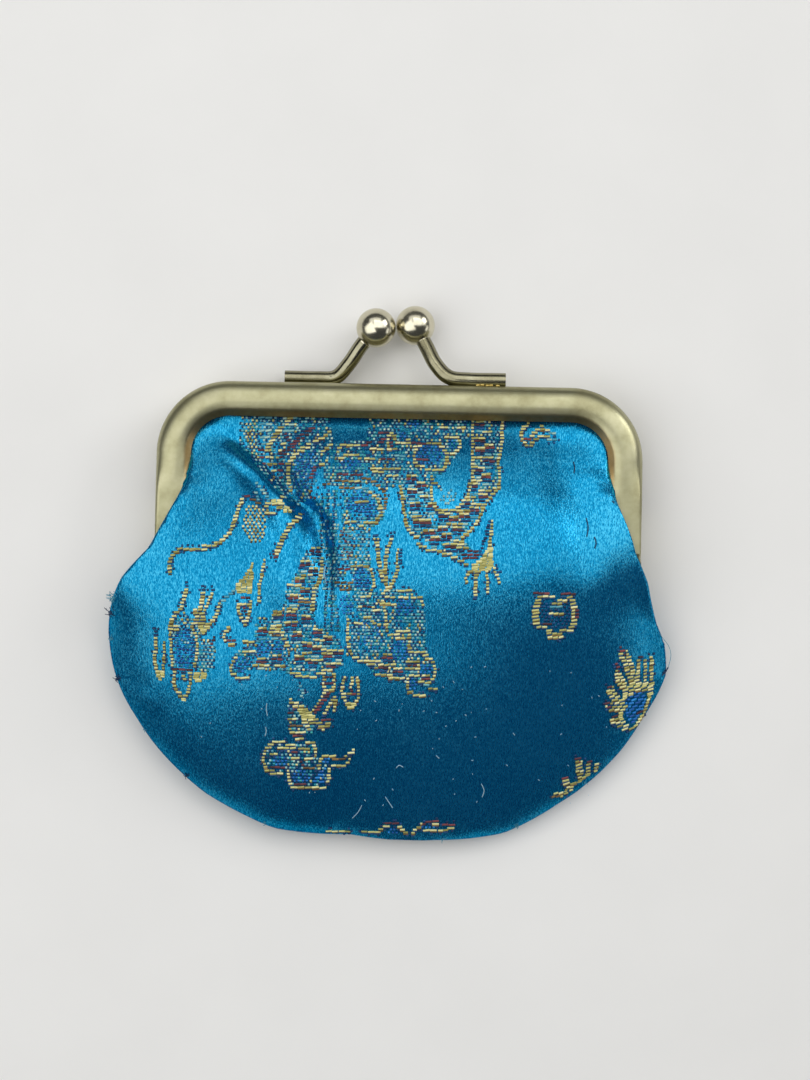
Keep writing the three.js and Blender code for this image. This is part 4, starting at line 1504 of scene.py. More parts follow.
paint("copper", [
    (0.55, [(-13, 18), (-11.8, 17.6)]), (0.55, [(-10.9, 17.3), (-9, 17.1)]),
    (0.55, [(-6.6, 17), (-5, 16.9), (-3.4, 18), (-2.6, 19), (-2.2, 20.2), (-2.3, 21.8)]),
    (0.55, [(-10, 18.3), (-7.8, 18.3)]), (0.6, [(-10.4, 34.8), (-7.6, 34.5)]),
    (0.6, [(-9.4, 36), (-8, 36)]),
])
paint("pale", [(0.55, [(-7.4, 18.2), (-5.4, 18.2)]), (0.55, [(-0.6, 12.6), (1.2, 12.3)])])
print("cells painted:", int((paper > 0).sum()))

# %% Chart the scaled body
SCALE_WIDTH = 1.3
SCALES = [
    # across and down of each scale's dark middle
    (13.9, 7), (13.9, 9.8), (15.5, 10.9), (14, 11.6), (15.5, 13.4), (13.6, 15.2), (15, 16.3),
    (2.1, 16.6), (3.8, 17.6), (12.7, 17.6), (2.3, 19), (14.5, 19.5), (11.6, 20.6), (2.9, 21.4),
    (5.8, 21.6), (13, 21.8), (11.4, 22.9), (7.7, 23), (9.5, 23.6), (4.9, 24), (3.4, 24.4), (10.2, 25.5),
    (7.6, 25.4), (5.4, 26), (8.3, 26.6), (6.3, 27.2), (10.6, 28.2), (9, 28.4), (-14.2, 29.6),
    (-15.8, 31.6), (-14.4, 33), (-16.6, 34.4), (-15.7, 36.2), (-17.6, 37.7), (-15.9, 38.2), (-18, 40.3),
    (-20.3, 40.6), (-15.4, 41.2), (-18, 42.3), (-13.4, 43.1), (-22.8, 43.4), (-20.5, 43.5),
    (-16.9, 44.2), (-11.7, 44.7), (-15.2, 45.6), (-13.5, 46.5), (-9.8, 46.6), (-11.6, 47.2),
    (-16.4, 48.3), (-14.1, 48.4), (-23, 48.5), (-20.3, 48.3), (-11, 49), (-2, 49.4), (0.4, 49.8),
    (3, 48.4), (5.3, 50.7), (-1.4, 47.4),
]


def paint_scale(x, y):
    """One scale: a gold edge on top, then maroon and navy rows, and a pale point below."""
    rows = [("gold", -ROW, 0.85), ("maroon", 0.0, 1.0), ("navy", ROW, 0.75), ("pale", 2 * ROW, 0.4)]
    for thread, drop, share in rows:
        half = SCALE_WIDTH * share / 2
        cells = stroke_cells([(x - half, y + drop), (x + half, y + drop)], ROW)
        paper[cells] = THREADS.index(thread)


for x, y in SCALES:
    paint_scale(x, y)
paint("maroon", [(1.4, [(11.6, 29.6), (13.4, 29.4)])])
paint("gold", [
    (0.55, [(1.7, 18.4), (2.9, 18.3)]), (0.55, [(2.2, 20.5), (3.4, 20.5)]),
    (0.55, [(3.8, 19.6), (4.8, 19.6)]), (0.55, [(2.6, 23.3), (3.8, 23.3)]),
    (0.55, [(6.8, 22.2), (9, 22.2)]), (0.55, [(8.6, 24.2), (10.8, 24.2)]),
    (0.55, [(10.4, 22.2), (12, 22.1)]), (0.6, [(12.6, 20.8), (14.6, 20.8)]),
    (0.55, [(11.6, 19.6), (13, 19.5)]), (0.55, [(12.6, 17), (14, 16.9)]),
    (0.55, [(14, 18.3), (15.6, 18.2)]), (0.55, [(13.2, 14.4), (14.6, 14.4)]),
    (0.55, [(13.2, 12.4), (14.6, 12.3)]), (0.55, [(13.2, 8.9), (14.6, 8.9)]),
    (0.55, [(14.6, 8.3), (15.8, 8.2)]), (0.55, [(4.6, 25.6), (6, 25.6)]),
    (0.55, [(8, 27.6), (9.4, 27.6)]), (0.55, [(9.8, 27), (11.2, 26.8)]),
    (0.55, [(10.4, 28.1), (11.8, 28.3)]), (0.6, [(-18.4, 35.5), (-16.6, 35.5)]),
    (0.55, [(-16.2, 33.4), (-14.8, 33.4)]), (0.55, [(-18.4, 39.2), (-17, 39.2)]),
    (0.55, [(-18.8, 41.5), (-17, 41.5)]), (0.55, [(-13.6, 44.4), (-12.4, 44.4)]),
    (0.55, [(-12.6, 46.3), (-10.8, 46.3)]), (0.55, [(-15.8, 47), (-14.6, 47)]),
    (0.55, [(-15, 47.8), (-12.6, 47.7)]), (0.55, [(-10.6, 48.4), (-9.6, 48.6)]),
    (0.55, [(-21.6, 43.2), (-19.2, 43.3)]), (0.55, [(-21.2, 42.2), (-19.8, 42.2)]),
    (0.55, [(-21, 40.7), (-19.8, 40.7)]), (0.55, [(-19.8, 43.6), (-18.7, 45), (-18.3, 46)]),
    (0.55, [(-26, 45.3), (-24.5, 45.4)]), (0.55, [(-26, 46.8), (-24.2, 47)]),
    (0.55, [(-24.2, 49.3), (-21.8, 49.2)]), (0.5, [(-20.5, 49.1), (-19, 49.4)]),
    (0.5, [(-17.8, 50.1), (-16.4, 50.2)]), (0.55, [(-16.8, 50.8), (-13.6, 50.8)]),
    (0.5, [(-13.2, 50.4), (-12, 49.8), (-11, 49.6)]),
    (0.8, [(-13, 31), (-13.2, 34), (-14.2, 36), (-14.4, 39.5)]),
    (0.6, [(-27.3, 47.8), (-28, 49), (-28.2, 50.4), (-27, 51.4), (-25.2, 51.3)]),
    (0.6, [(0.2, 17.6), (0.6, 19.5), (0.8, 21.5), (1.2, 23.5), (1.7, 25), (2.4, 26), (3.4, 26.7)]),
    (0.6, [
        (3.4, 27.6), (4, 28.3), (5, 28.6), (6.6, 28.8), (8, 29.3), (9.5, 29.9), (11, 30.7), (12, 31.4),
    ]),
    (0.6, [
        (17.8, 6.4), (17.7, 10.5), (17.2, 13), (17.3, 15.5), (17.2, 17.5), (16.6, 18.6), (15.6, 19.8),
        (14.8, 21), (14.2, 22.5), (13.4, 24), (12.2, 25.5), (11, 26.5),
    ]),
    (1, [(16.6, 18.2), (17, 18)]), (0.5, [(5.6, 16), (5.9, 17.2), (6.8, 17.6)]),
    (0.5, [
        (5.6, 18), (5.8, 20.5), (6.6, 21.8), (8, 22.3), (9.6, 22), (10.6, 21), (11.6, 19.8),
        (12.4, 17.5), (12.7, 15.5), (12.7, 11), (12.7, 6.4),
    ]),
])
paint("copper", [(0.9, [(-16.6, 38.2), (-15.1, 38.2)]), (0.5, [(-21, 43.7), (-20, 43.8)])])
print("cells painted:", int((paper > 0).sum()))

# %% Chart the spur, the tongues and the cloud scrolls
paint("gold", [
    (0.7, [(16, 23.6), (15.9, 26), (15.8, 28.4)]),
    ("solid", [
        (15.4, 28), (14.4, 29.8), (12.8, 31.2), (12.6, 32.4), (14.2, 32.4), (15.6, 31.9), (16.5, 31.7),
        (16.3, 28),
    ]),
    (0.55, [(12.4, 32.2), (11.8, 33.3), (11.9, 33.9)]),
    (0.8, [(13.6, 32.4), (13.4, 34.5), (13.5, 36.5)]), (0.6, [(15.3, 32.2), (15.5, 34), (15.5, 36.1)]),
    (0.6, [(16.6, 32), (17.2, 33.2), (17.5, 33.9)]),
    (0.8, [(-3.7, 27.1), (-3.4, 29), (-3, 31.5), (-2.4, 33.8)]),
    (0.8, [(-1, 26.7), (-1.6, 28.6), (-2, 30.5), (-2, 33), (-1.8, 35)]),
    (0.7, [(0.1, 29.2), (0.1, 31.5), (-0.3, 33.5), (-1.2, 35.2), (-2.3, 36.4)]),
    (1, [(-2.8, 32.4), (-2.3, 32.6)]), (0.6, [(0.4, 35.7), (2.4, 35.6)]),
    (0.55, [(-1.8, 37), (-0.6, 37)]), (0.55, [(0.6, 37), (1.8, 37)]),
    (0.55, [(2.8, 37), (4, 37), (4.6, 38.2)]), (0.6, [(-6.2, 38.5), (-4, 38.5)]),
    (0.55, [(-1.6, 38.4), (-0.2, 38.4)]), (0.55, [(-5.8, 37), (-4.6, 37)]),
    (0.55, [(-4, 39), (-2.8, 39.6)]), (0.5, [(-2.4, 37.5), (-1.8, 40), (-1.6, 43)]),
    (0.5, [(-8.2, 41), (-8.3, 43.5), (-7.9, 46), (-7, 47.5), (-5.2, 48), (-2.6, 47.9)]),
    (0.55, [(-7, 41.8), (-6, 41.8)]), (0.55, [(-5.4, 40.4), (-4.6, 40.4), (-3.8, 41.4), (-3, 41.8)]),
    (0.6, [(-4.4, 48.6), (-3.2, 49)]), (0.6, [(-1.2, 43.4), (0, 43.2), (1.4, 42.8)]),
    (0.6, [(0.2, 44.2), (1.8, 44.2)]), (0.5, [(2, 42.5), (2.4, 44), (2.2, 45.5)]),
    (0.6, [(2.4, 46.4), (4.6, 46.3), (5, 47)]), (0.55, [(-1.8, 48.4), (-0.2, 48.4)]),
    (0.6, [(-3.2, 50.5), (-0.8, 50.5)]), (0.6, [(-0.8, 51), (1.4, 51)]), (0.55, [(1.8, 49), (3.6, 49)]),
    (0.5, [(3.9, 47.6), (4, 49.5)]), (0.5, [(2.6, 50.4), (3.6, 50.4)]),
    (0.6, [(5.2, 47.5), (6.2, 47.6), (6.8, 48.8), (6.8, 50), (6.4, 51), (5.2, 51.6), (4.2, 51.5)]),
    (0.55, [(2.2, 51), (2.2, 52.6), (2.8, 53.4), (4, 53.7), (5.4, 53.6)]),
    (0.6, [(6, 52.8), (7, 52.7)]),
])
paint("navy", [
    (0.55, [(15.7, 23.6), (14.9, 27), (14.1, 29.2)]), (0.6, [(-4, 26.6), (-3.6, 26.9)]),
    (0.6, [(-1.3, 26.2), (-0.8, 26.5)]), (0.5, [(0.5, 29.4), (0.5, 31.5)]),
    (0.55, [(17.1, 31.8), (17.6, 32.4)]),
])
paint("maroon", [(0.55, [(-5.6, 39), (-4.4, 39)])])
print("cells painted:", int((paper > 0).sum()))

# %% [markdown]
# Round the dragon lie the smaller figures of such a cloth: a flaming pearl, a claw with a star, a
# three-lobed cloud, a round knot in a ring, and flames and clouds that the seam cuts off.

# %% Chart the flaming pearl and the claw below it
PEARL = [
    (-39.4, 43.4), (-36.6, 40.4), (-34.4, 42), (-33.6, 44.6), (-31, 45.4), (-31.2, 50), (-34.6, 51),
    (-38.6, 50.6), (-39, 47),
]
CLAW = [(-18.4, 56), (-15.4, 55.6), (-12.4, 59.6), (-14.6, 61.2), (-18, 60.6)]
tweed(PEARL)
tweed(CLAW)
paint("blue", [
    ("check", [
        (-37.6, 43.5), (-35.8, 43.2), (-34.6, 45), (-34.6, 48.5), (-35.8, 50), (-37.8, 49.8),
        (-38.3, 47), (-38.2, 45),
    ]),
])
paint("pale", [
    ("dots", [(-34.2, 45.5), (-32, 45.5), (-31.2, 47), (-31.4, 50), (-34.5, 50.2)]),
    ("scatter", [(-37.6, 43.5), (-35.8, 43.2), (-34.6, 45), (-35, 47), (-38, 46)]),
    ("dots", [(-39.2, 43.4), (-37.4, 42), (-36.6, 43), (-38.4, 45)]),
])
paint("gold", [
    (0.75, [(-41.7, 44.6), (-41.6, 46), (-41.8, 48.5), (-41.6, 50.6)]),
    (0.6, [(-40.1, 46), (-40.2, 49), (-40.4, 51)]),
    ("solid", [(-42, 50.6), (-39.9, 50.6), (-40.1, 51.8), (-41.2, 52.4)]),
    (0.75, [(-36.2, 36.4), (-36.6, 38), (-37.2, 39.8), (-38.4, 41.2), (-39.2, 43.2)]),
    (0.6, [(-37, 41.4), (-36.4, 42.4)]), (0.5, [(-39, 44), (-38.8, 47), (-38.6, 50)]),
    (0.5, [(-35.3, 42.5), (-34.4, 44.5), (-34.2, 47), (-34.6, 50)]),
    (0.9, [(-33.3, 36.8), (-33.4, 38.3), (-33.9, 40.3), (-34.7, 42.2)]),
    (0.9, [(-34.6, 40.2), (-33.4, 40.6)]),
    (0.55, [(-31.6, 37), (-32.2, 38.3), (-32.9, 40), (-33.4, 41.8)]),
    (0.75, [(-30.4, 39), (-31, 40.8), (-32, 42.3), (-33.2, 43.8)]), (0.8, [(-33.4, 42.8), (-32.4, 43)]),
    ("solid", [(-34.8, 50.9), (-32.3, 50.5), (-32.6, 51.7), (-34, 52.4), (-35, 51.8)]),
    (0.6, [
        (-38.2, 50.8), (-38.4, 52.5), (-37.8, 54.2), (-36.8, 55.4), (-35.8, 54.2), (-35.4, 52),
        (-35.6, 51),
    ]),
    (0.8, [(-37.5, 54.5), (-36.6, 55.3)]), (0.6, [(-36.9, 51.4), (-36.3, 52.2)]),
    (0.6, [(-12.1, 50.4), (-12.1, 53)]), (0.55, [(-10.5, 50.4), (-10.5, 52.9)]),
    (0.6, [(-11.8, 53), (-10.6, 53)]), (0.55, [(-12, 53.5), (-12.8, 55.2), (-13.8, 56.8)]),
    (0.5, [(-10.3, 54.4), (-11.2, 55.8), (-12.1, 57.6)]), (0.5, [(-10, 55), (-10.4, 56.8)]),
    (1, [(-17.8, 55.4), (-16.4, 56.2), (-15, 57.2), (-13.6, 58.6), (-12.2, 59.8)]),
    (0.8, [(-12.8, 59.6), (-11.2, 59.3)]), (0.8, [(-15.4, 56.6), (-15.4, 58.5), (-14.6, 60)]),
    (0.6, [(-18.2, 58.2), (-17, 58.7)]), (0.6, [(-18, 60.2), (-17.4, 60.8), (-15.4, 60.6)]),
    (0.5, [(-8.6, 50.8), (-8.9, 52), (-9.2, 53.2)]), (0.5, [(-7.3, 51), (-7.5, 52.5)]),
    (0.5, [(-6.4, 51), (-6.2, 53)]),
    (0.6, [
        (-9, 53.8), (-8.6, 54.6), (-8.2, 55.6), (-7.6, 56.2), (-6.9, 55.6), (-6.3, 54.4), (-6.2, 53.2),
    ]),
    (0.6, [(-9, 54.2), (-7.8, 53.9)]),
])
paint("gold", [
    ("solid", [(-34.8, 41.6), (-34, 40.2), (-33, 40.8), (-32.2, 42.8), (-33.6, 43.6)]),
    ("solid", oval(-38.2, 43.2, 0.9, 0.7)), ("solid", oval(-36.9, 55, 0.6, 0.6)),
    ("solid", [(-17.8, 55.2), (-16.6, 55.6), (-14.4, 57.6), (-13.8, 59.2), (-15.4, 59), (-16.4, 57.2)]),
    ("solid", oval(-7.6, 55.7, 0.9, 0.6)),
])
paint("navy", [
    (0.7, [(-41.8, 43.5), (-41.6, 44.5)]), (0.5, [(-36.2, 35.4), (-36.2, 36)]),
    (0.6, [(-33.5, 36), (-33.1, 36.4)]), (0.5, [(-31.7, 36.1), (-31.5, 36.5)]),
])
paint("maroon", [
    (0.55, [(-38.5, 50.2), (-35.2, 50.5)]), (0.5, [(-31.2, 44.8), (-31.8, 46)]),
    (0.9, [(-11.7, 51.2), (-10.9, 51.2)]), (0.7, [(-11.7, 52.2), (-10.9, 52.2)]),
    (0.8, [(-11.4, 53.9), (-12.4, 55.4), (-13.6, 57)]), (0.6, [(-12.4, 58.6), (-11.2, 58.6)]),
    (0.6, [(-18.2, 57.3), (-17.4, 57)]), (0.55, [(-17.2, 61.3), (-16, 61.2)]),
    (0.6, [(-7.4, 53.4), (-6.9, 53.8)]),
])
paint("copper", [(0.6, [(-17.8, 59.4), (-16, 59.3)])])
paint("pale", [(0.5, [(-16.2, 52.6), (-15.8, 53.6), (-16, 54.6)])])
print("cells painted:", int((paper > 0).sum()))

# %% Chart the cloud, the knot and the figures at the seam
CLOUD = [
    (-22.2, 64), (-19.6, 62.8), (-14, 62.8), (-13, 65), (-11.6, 66), (-11.4, 69.6), (-14, 70.4),
    (-17.6, 70.4), (-19, 68), (-21.8, 67),
]
KNOT = [(24.6, 37.4), (30, 37.4), (30.1, 40.6), (29.2, 42), (24.8, 41.4)]
PEARL_BASE = [
    (40.4, 53.9), (39.9, 55.3), (40.1, 57.7), (40.7, 58.6), (41.9, 59.8), (41.5, 60.1), (39.9, 59),
    (39.1, 57.4), (39.5, 55.3), (39.9, 52.7), (41.2, 51), (43.5, 51), (45.6, 51.4), (45.5, 53.3),
    (44.6, 54.4), (44.2, 53.2), (42.4, 52.9), (41.1, 53.6),
]
FLAME_BASE = [
    (30.1, 70.9), (30.7, 69.9), (32.2, 69), (33.3, 67.8), (34.6, 67.6), (34.2, 68.2), (32.2, 69.6),
    (30.4, 70.9),
]
tweed(CLOUD)
paint("navy", [("check", KNOT)])
paint("blue", [
    ("check", oval(-19.6, 66, 1.6, 1)), ("check", oval(-16, 68.8, 1.5, 1.3)),
    ("satin", [(-14, 69.6), (-12, 69.6), (-11.8, 67), (-12.6, 67.6)]),
    ("check", oval(-11.6, 65.8, 0.8, 0.7)), ("satin", oval(42.35, 55.8, 2, 2.9)),
    ("check", oval(6.4, 77.7, 1.2, 0.6)), ("check", oval(0, 78.6, 0.9, 0.6)),
])
paint("gold", [
    (0.55, oval(-19.8, 65.6, 2.8, 3, 100, 330)), (0.6, [(-20.8, 62.5), (-19, 62.5)]),
    (0.6, [(-18.4, 62.8), (-17.2, 63)]), (0.55, [(-20, 63.9), (-18, 64)]),
    (0.55, [(-21.2, 64.8), (-20.4, 65)]), (0.7, [(-22.2, 67.4), (-21, 68), (-19.4, 68.3)]),
    (0.6, [(-16.8, 62.2), (-15.9, 62.2)]),
    (0.55, [(-15.2, 62.3), (-14.1, 62.4), (-13.6, 63.4), (-13.5, 64.2)]),
    (0.55, [(-16.4, 63.6), (-14.8, 63.6)]), (1.1, [(-14.9, 65.3), (-14.4, 65.3)]),
    (0.55, [(-17.6, 65.3), (-16.6, 65.3)]),
    (0.55, [(-18.2, 68.2), (-18.1, 69.4), (-17.6, 70.6), (-17, 70.9)]),
    (0.6, [(-17, 70.9), (-15.2, 70.9)]), (0.55, [(-14.6, 70.4), (-13.6, 70.4)]),
    (0.55, [(-13.2, 70.4), (-11.8, 70.4)]), (0.55, [(-11.4, 69.6), (-11.1, 68.4), (-11.2, 67)]),
    (0.5, [(-12.9, 67.4), (-12.6, 65.6), (-12.2, 65)]), (0.6, [(-12.2, 64.8), (-10.2, 64.7)]),
    (0.55, [(-8.4, 64.6), (-7.2, 64.4), (-7, 63.8)]), (0.55, [(-7.6, 65.6), (-8.4, 66.4)]),
    (0.6, [(-10.6, 66.9), (-8.6, 66.8)]), (0.6, [(24.4, 36.6), (26.8, 36.7)]),
    (0.6, [(27.7, 36.9), (30, 36.6)]), (1.2, [(24.2, 37.3), (23.75, 39.2), (24, 40.9)]),
    (1.1, [(30.2, 37.1), (30.6, 39.1), (30.5, 40.9), (30, 42)]),
    (0.6, [(24.2, 41.4), (25.2, 41.7), (26.5, 42.2)]), (0.6, [(28.4, 42.3), (30.2, 41.9)]),
    (0.6, [(26.2, 42.9), (28.3, 42.9)]), (0.6, [(26.3, 43.5), (28.4, 43.5)]),
    (0.5, [(26.9, 37.7), (28.1, 37.7)]), (0.5, [(26.3, 39.4), (27, 39.4)]),
    (0.5, [(27.6, 39.4), (28.4, 39.4)]), (0.6, [(21.4, 7), (21.2, 8.6), (22, 10.2), (22.8, 10.3)]),
    (0.55, [(22.4, 6.4), (21.6, 7.4)]), (0.7, [(22.8, 10), (23.8, 9), (24.6, 8.7), (25.8, 8.6)]),
    (0.7, [(23, 8.6), (24.4, 7.2), (25.8, 7.4)]),
    (1.8, [(39.5, 46.2), (40.5, 48), (41.1, 49.7), (41.8, 51.5)]),
    (1.5, [(38.6, 49.8), (39.4, 51.2), (40.2, 52.4)]), (1.5, [(37.4, 52.5), (38.3, 53.9), (39.5, 55)]),
    (1.3, [(37.5, 55.5), (38.6, 55.7), (40.1, 55.6)]), (1.3, [(38.2, 58), (39.6, 58.6), (40.8, 59.4)]),
    (0.8, [(42.4, 47.6), (42.5, 52)]), (0.7, [(43.7, 47.6), (43.8, 52.2)]),
    (0.8, [(44.8, 46.8), (45, 52.4)]), (0.7, [(44.6, 54.4), (44, 56.5), (42.8, 58.6), (41.9, 59.8)]),
    ("solid", PEARL_BASE), (1.3, [(32.4, 65.4), (32.8, 67.8)]), (0.9, [(34.2, 65.7), (34.3, 67.5)]),
    (0.8, [(35.7, 66.1), (35.6, 66.9)]), (1.2, [(30.2, 68.9), (31.3, 70.2)]),
    (1.1, [(28.6, 71.5), (30.3, 71.2)]), ("solid", FLAME_BASE), (0.55, [(-11.4, 78.6), (-9.8, 78.7)]),
    (0.55, [(-9.4, 78.8), (-7.6, 78.8)]), (0.55, [(-5.2, 78.9), (-3, 78.9)]),
    (0.6, [(-2.6, 78.8), (-1.6, 77.9), (-1, 77.4), (1, 77.3), (2, 78.4), (2.6, 78.9)]),
    (0.55, [(3.6, 78.8), (4.4, 77.9), (5.2, 77.2)]), (0.6, [(7.2, 77), (8, 77)]),
    (0.6, [(8.2, 78.4), (9.4, 78), (10.6, 77.6)]), (0.5, [(5.6, 78.4), (7.6, 78.5)]),
])
paint("maroon", [
    (0.6, [(-21.2, 67), (-19, 67.2)]), (0.6, [(-16, 66), (-15.4, 67)]),
    (0.55, [(-17, 70.2), (-15.4, 70.2)]), (0.5, [(-17.6, 64), (-16.8, 64.4)]),
    (0.5, [(23.6, 36.05), (25.9, 36.05)]), (0.5, [(28.3, 36.1), (30.5, 36.1)]),
    (0.5, [(25.2, 41), (26.4, 41)]), (0.5, [(31.1, 38.8), (31.1, 40)]),
    (0.8, [(21.9, 8.9), (22.6, 9.1)]), (0.7, [(39, 45.4), (39.8, 46)]),
    (0.7, [(38.4, 48.2), (38.8, 48.9)]), (0.6, [(37, 51.8), (37.5, 52.1)]),
    (0.8, [(36.9, 55.1), (37.6, 55.4)]), (0.6, [(38.2, 57.4), (38.9, 57.6)]),
    (0.6, [(42.4, 46.6), (42.9, 47)]), (0.7, [(42.8, 56.6), (43.4, 56.8)]),
    (0.7, [(32, 64.8), (32.6, 65.1)]), (0.6, [(34, 65.2), (34.5, 65.4)]),
    (0.6, [(29.8, 68.4), (30.4, 68.5)]), (0.5, [(-1, 76.9), (1, 76.9)]),
    (0.55, [(5.4, 76.8), (8, 76.4)]), (0.5, [(9, 77), (10.8, 76.8)]),
])
paint("copper", [
    (0.6, [(28.2, 71.7), (29.2, 71.5)]), (0.7, [(-10.4, 65.3), (-8.6, 65.2)]),
    (0.55, [(-15.4, 67.3), (-13.8, 67.3)]),
])
paint("pale", [
    (0.5, [(26.6, 38.4), (28.2, 38.4)]), (0.55, [(26, 9.2), (27.2, 9.2)]),
    (0.55, [(26.2, 8.2), (27, 8.3)]),
])
print("cells painted:", int((paper > 0).sum()))

# %% [markdown]
# Each run on the paper becomes a float. A ray finds where the cloth lies under the run, and the
# point keeps the run's length and the cloth's directions there. One tree then sets a short, plump
# thread on every point. The back is cut from the same cloth, with the figures the other way round,
# and its floats are kept above the table.

# %% Runs of one thread
LONGEST_FLOAT = 1.3
SHORTEST_FLOAT = 0.36
FLOAT_GAP = 0.06
FLOAT_WIDTH = 0.48
# width of the dark float under each gold float, partly binding between rows and partly painted shadow
BINDING_AND_SHADOW_WIDTH = 0.32
STEEPEST = 0.3


def float_runs():
    """Every float: thread, middle across, down, length and width."""
    runs = []
    for row, line in enumerate(paper):
        edges = np.flatnonzero(np.diff(line)) + 1
        for start, stop in zip([0, *edges], [*edges, len(line)]):
            if line[start] == 0:
                continue
            count = max(1, math.ceil((stop - start) * STEP / LONGEST_FLOAT))
            span = (stop - start) * STEP / count
            for part in range(count):
                middle = PAPER_ACROSS[start] - STEP / 2 + span * (part + 0.5)
                length = max(span - FLOAT_GAP, SHORTEST_FLOAT)
                thread = THREADS[line[start]]
                runs.append((thread, middle, PAPER_DOWN[row], length, FLOAT_WIDTH))
                # Half a row below each gold float lies a narrower float: gold inside solid fills, elsewhere
                # navy or copper, a dark line that is partly the binding between rows and partly a painted
                # shadow under the gold.
                if thread == "gold":
                    under = "gold" if solid[row, start] else weaver.choice(["navy", "navy", "copper"])
                    runs.append((under, middle, PAPER_DOWN[row] + ROW / 2, length, BINDING_AND_SHADOW_WIDTH))
    return runs


runs = float_runs()
print("floats:", len(runs))

# %% Tree for the floats
FLOAT_FLATNESS = 0.5
FLOAT_SIDES = 5
FLOAT_POINTS = 4
FLOAT_TIP = 0.62
FULL_FROM = 0.25


def float_tree():
    """A plump thread on every point, as long and turned as the point says."""
    tree, given = new_tree(
        "weft_float",
        [("Flatness", "NodeSocketFloat"), ("Thread", "NodeSocketMaterial")],
    )
    line = add_node(
        tree, "GeometryNodeCurvePrimitiveLine", inputs={"Start": (-0.5, 0, 0), "End": (0.5, 0, 0)}
    )
    cut = add_node(
        tree,
        "GeometryNodeResampleCurve",
        inputs={"Curve": line.outputs["Curve"], "Count": FLOAT_POINTS},
    )
    along = add_node(tree, "GeometryNodeSplineParameter")
    bulge = add_node(
        tree, "ShaderNodeMath", {"operation": "PINGPONG"}, {0: along.outputs["Factor"], 1: 0.5}
    )
    plump = add_node(
        tree,
        "ShaderNodeMapRange",
        inputs={
            "Value": bulge.outputs[0],
            "From Min": 0.0,
            "From Max": FULL_FROM,
            "To Min": FLOAT_TIP,
            "To Max": 1.0,
        },
    )
    shaped = add_node(
        tree,
        "GeometryNodeSetCurveRadius",
        inputs={"Curve": cut.outputs["Curve"], "Radius": plump.outputs["Result"]},
    )
    ring = add_node(
        tree, "GeometryNodeCurvePrimitiveCircle", inputs={"Resolution": FLOAT_SIDES, "Radius": 0.5}
    )
    thread = add_node(
        tree,
        "GeometryNodeCurveToMesh",
        inputs={
            "Curve": shaped.outputs["Curve"],
            "Profile Curve": ring.outputs["Curve"],
            "Fill Caps": True,
        },
    )
    carried = {"run_length": "FLOAT", "run_width": "FLOAT"}
    carried.update({"run_along": "FLOAT_VECTOR", "run_up": "FLOAT_VECTOR"})
    read = {}
    for label, kind in carried.items():
        reader = add_node(tree, "GeometryNodeInputNamedAttribute", {"data_type": kind}, {"Name": label})
        read[label] = reader.outputs["Attribute"]
    rise = add_node(
        tree, "ShaderNodeMath", {"operation": "MULTIPLY"}, {0: read["run_width"], 1: given["Flatness"]}
    )
    turned = add_node(
        tree,
        "FunctionNodeAxesToRotation",
        {"primary_axis": "X", "secondary_axis": "Z"},
        {"Primary Axis": read["run_along"], "Secondary Axis": read["run_up"]},
    )
    size = add_node(
        tree,
        "ShaderNodeCombineXYZ",
        inputs={"X": read["run_length"], "Y": read["run_width"], "Z": rise.outputs[0]},
    )
    placed = add_node(
        tree,
        "GeometryNodeInstanceOnPoints",
        inputs={
            "Points": given["Geometry"],
            "Instance": thread.outputs["Mesh"],
            "Rotation": turned.outputs["Rotation"],
            "Scale": size.outputs["Vector"],
        },
    )
    close_tree(tree, placed.outputs["Instances"], given["Thread"])
    return tree


weft_tree = float_tree()
print("float tree:", len(weft_tree.nodes), "nodes")

# %% [markdown]
# The figure threads are thicker than the warp. The gold one is a flat foil wound on cotton, so it
# glints; the others are plain spun silk. Each float is a little lighter or darker than the next,
# because no dyed thread is even, and that comes from an attribute that each float carries.

# %% Thread finishes
TWIST = 0.25
TWIST_BUMP = 0.5
TWIST_DEPTH = 0.06
GLOSS_SPREAD = 0.1


def figure_thread(name, tones, metallic, roughness):
    """A spun thread: its tones from dark to light and how much it glints."""
    material, tree = new_material(name)
    where = add_node(tree, "ShaderNodeTexCoord")
    shade = add_node(tree, "ShaderNodeAttribute", {"attribute_name": "shade"})
    colour = blend_colours(tree, shade.outputs["Fac"], tones)
    twist = add_node(
        tree,
        "ShaderNodeTexNoise",
        inputs={"Vector": where.outputs["Object"], "Scale": 1 / (TWIST * MM), "Detail": 2.0},
    )
    bump = add_node(
        tree,
        "ShaderNodeBump",
        inputs={"Strength": TWIST_BUMP, "Distance": TWIST_DEPTH * MM, "Height": twist.outputs["Fac"]},
    )
    gloss = add_node(
        tree,
        "ShaderNodeMapRange",
        inputs={
            "Value": twist.outputs["Fac"],
            "To Min": roughness - GLOSS_SPREAD,
            "To Max": roughness + GLOSS_SPREAD,
        },
    )
    shader = add_node(
        tree,
        "ShaderNodeBsdfPrincipled",
        inputs={
            "Base Color": colour,
            "Metallic": metallic,
            "Roughness": gloss.outputs["Result"],
            "Normal": bump.outputs["Normal"],
        },
    )
    add_node(tree, "ShaderNodeOutputMaterial", inputs={"Surface": shader.outputs["BSDF"]})
    return material


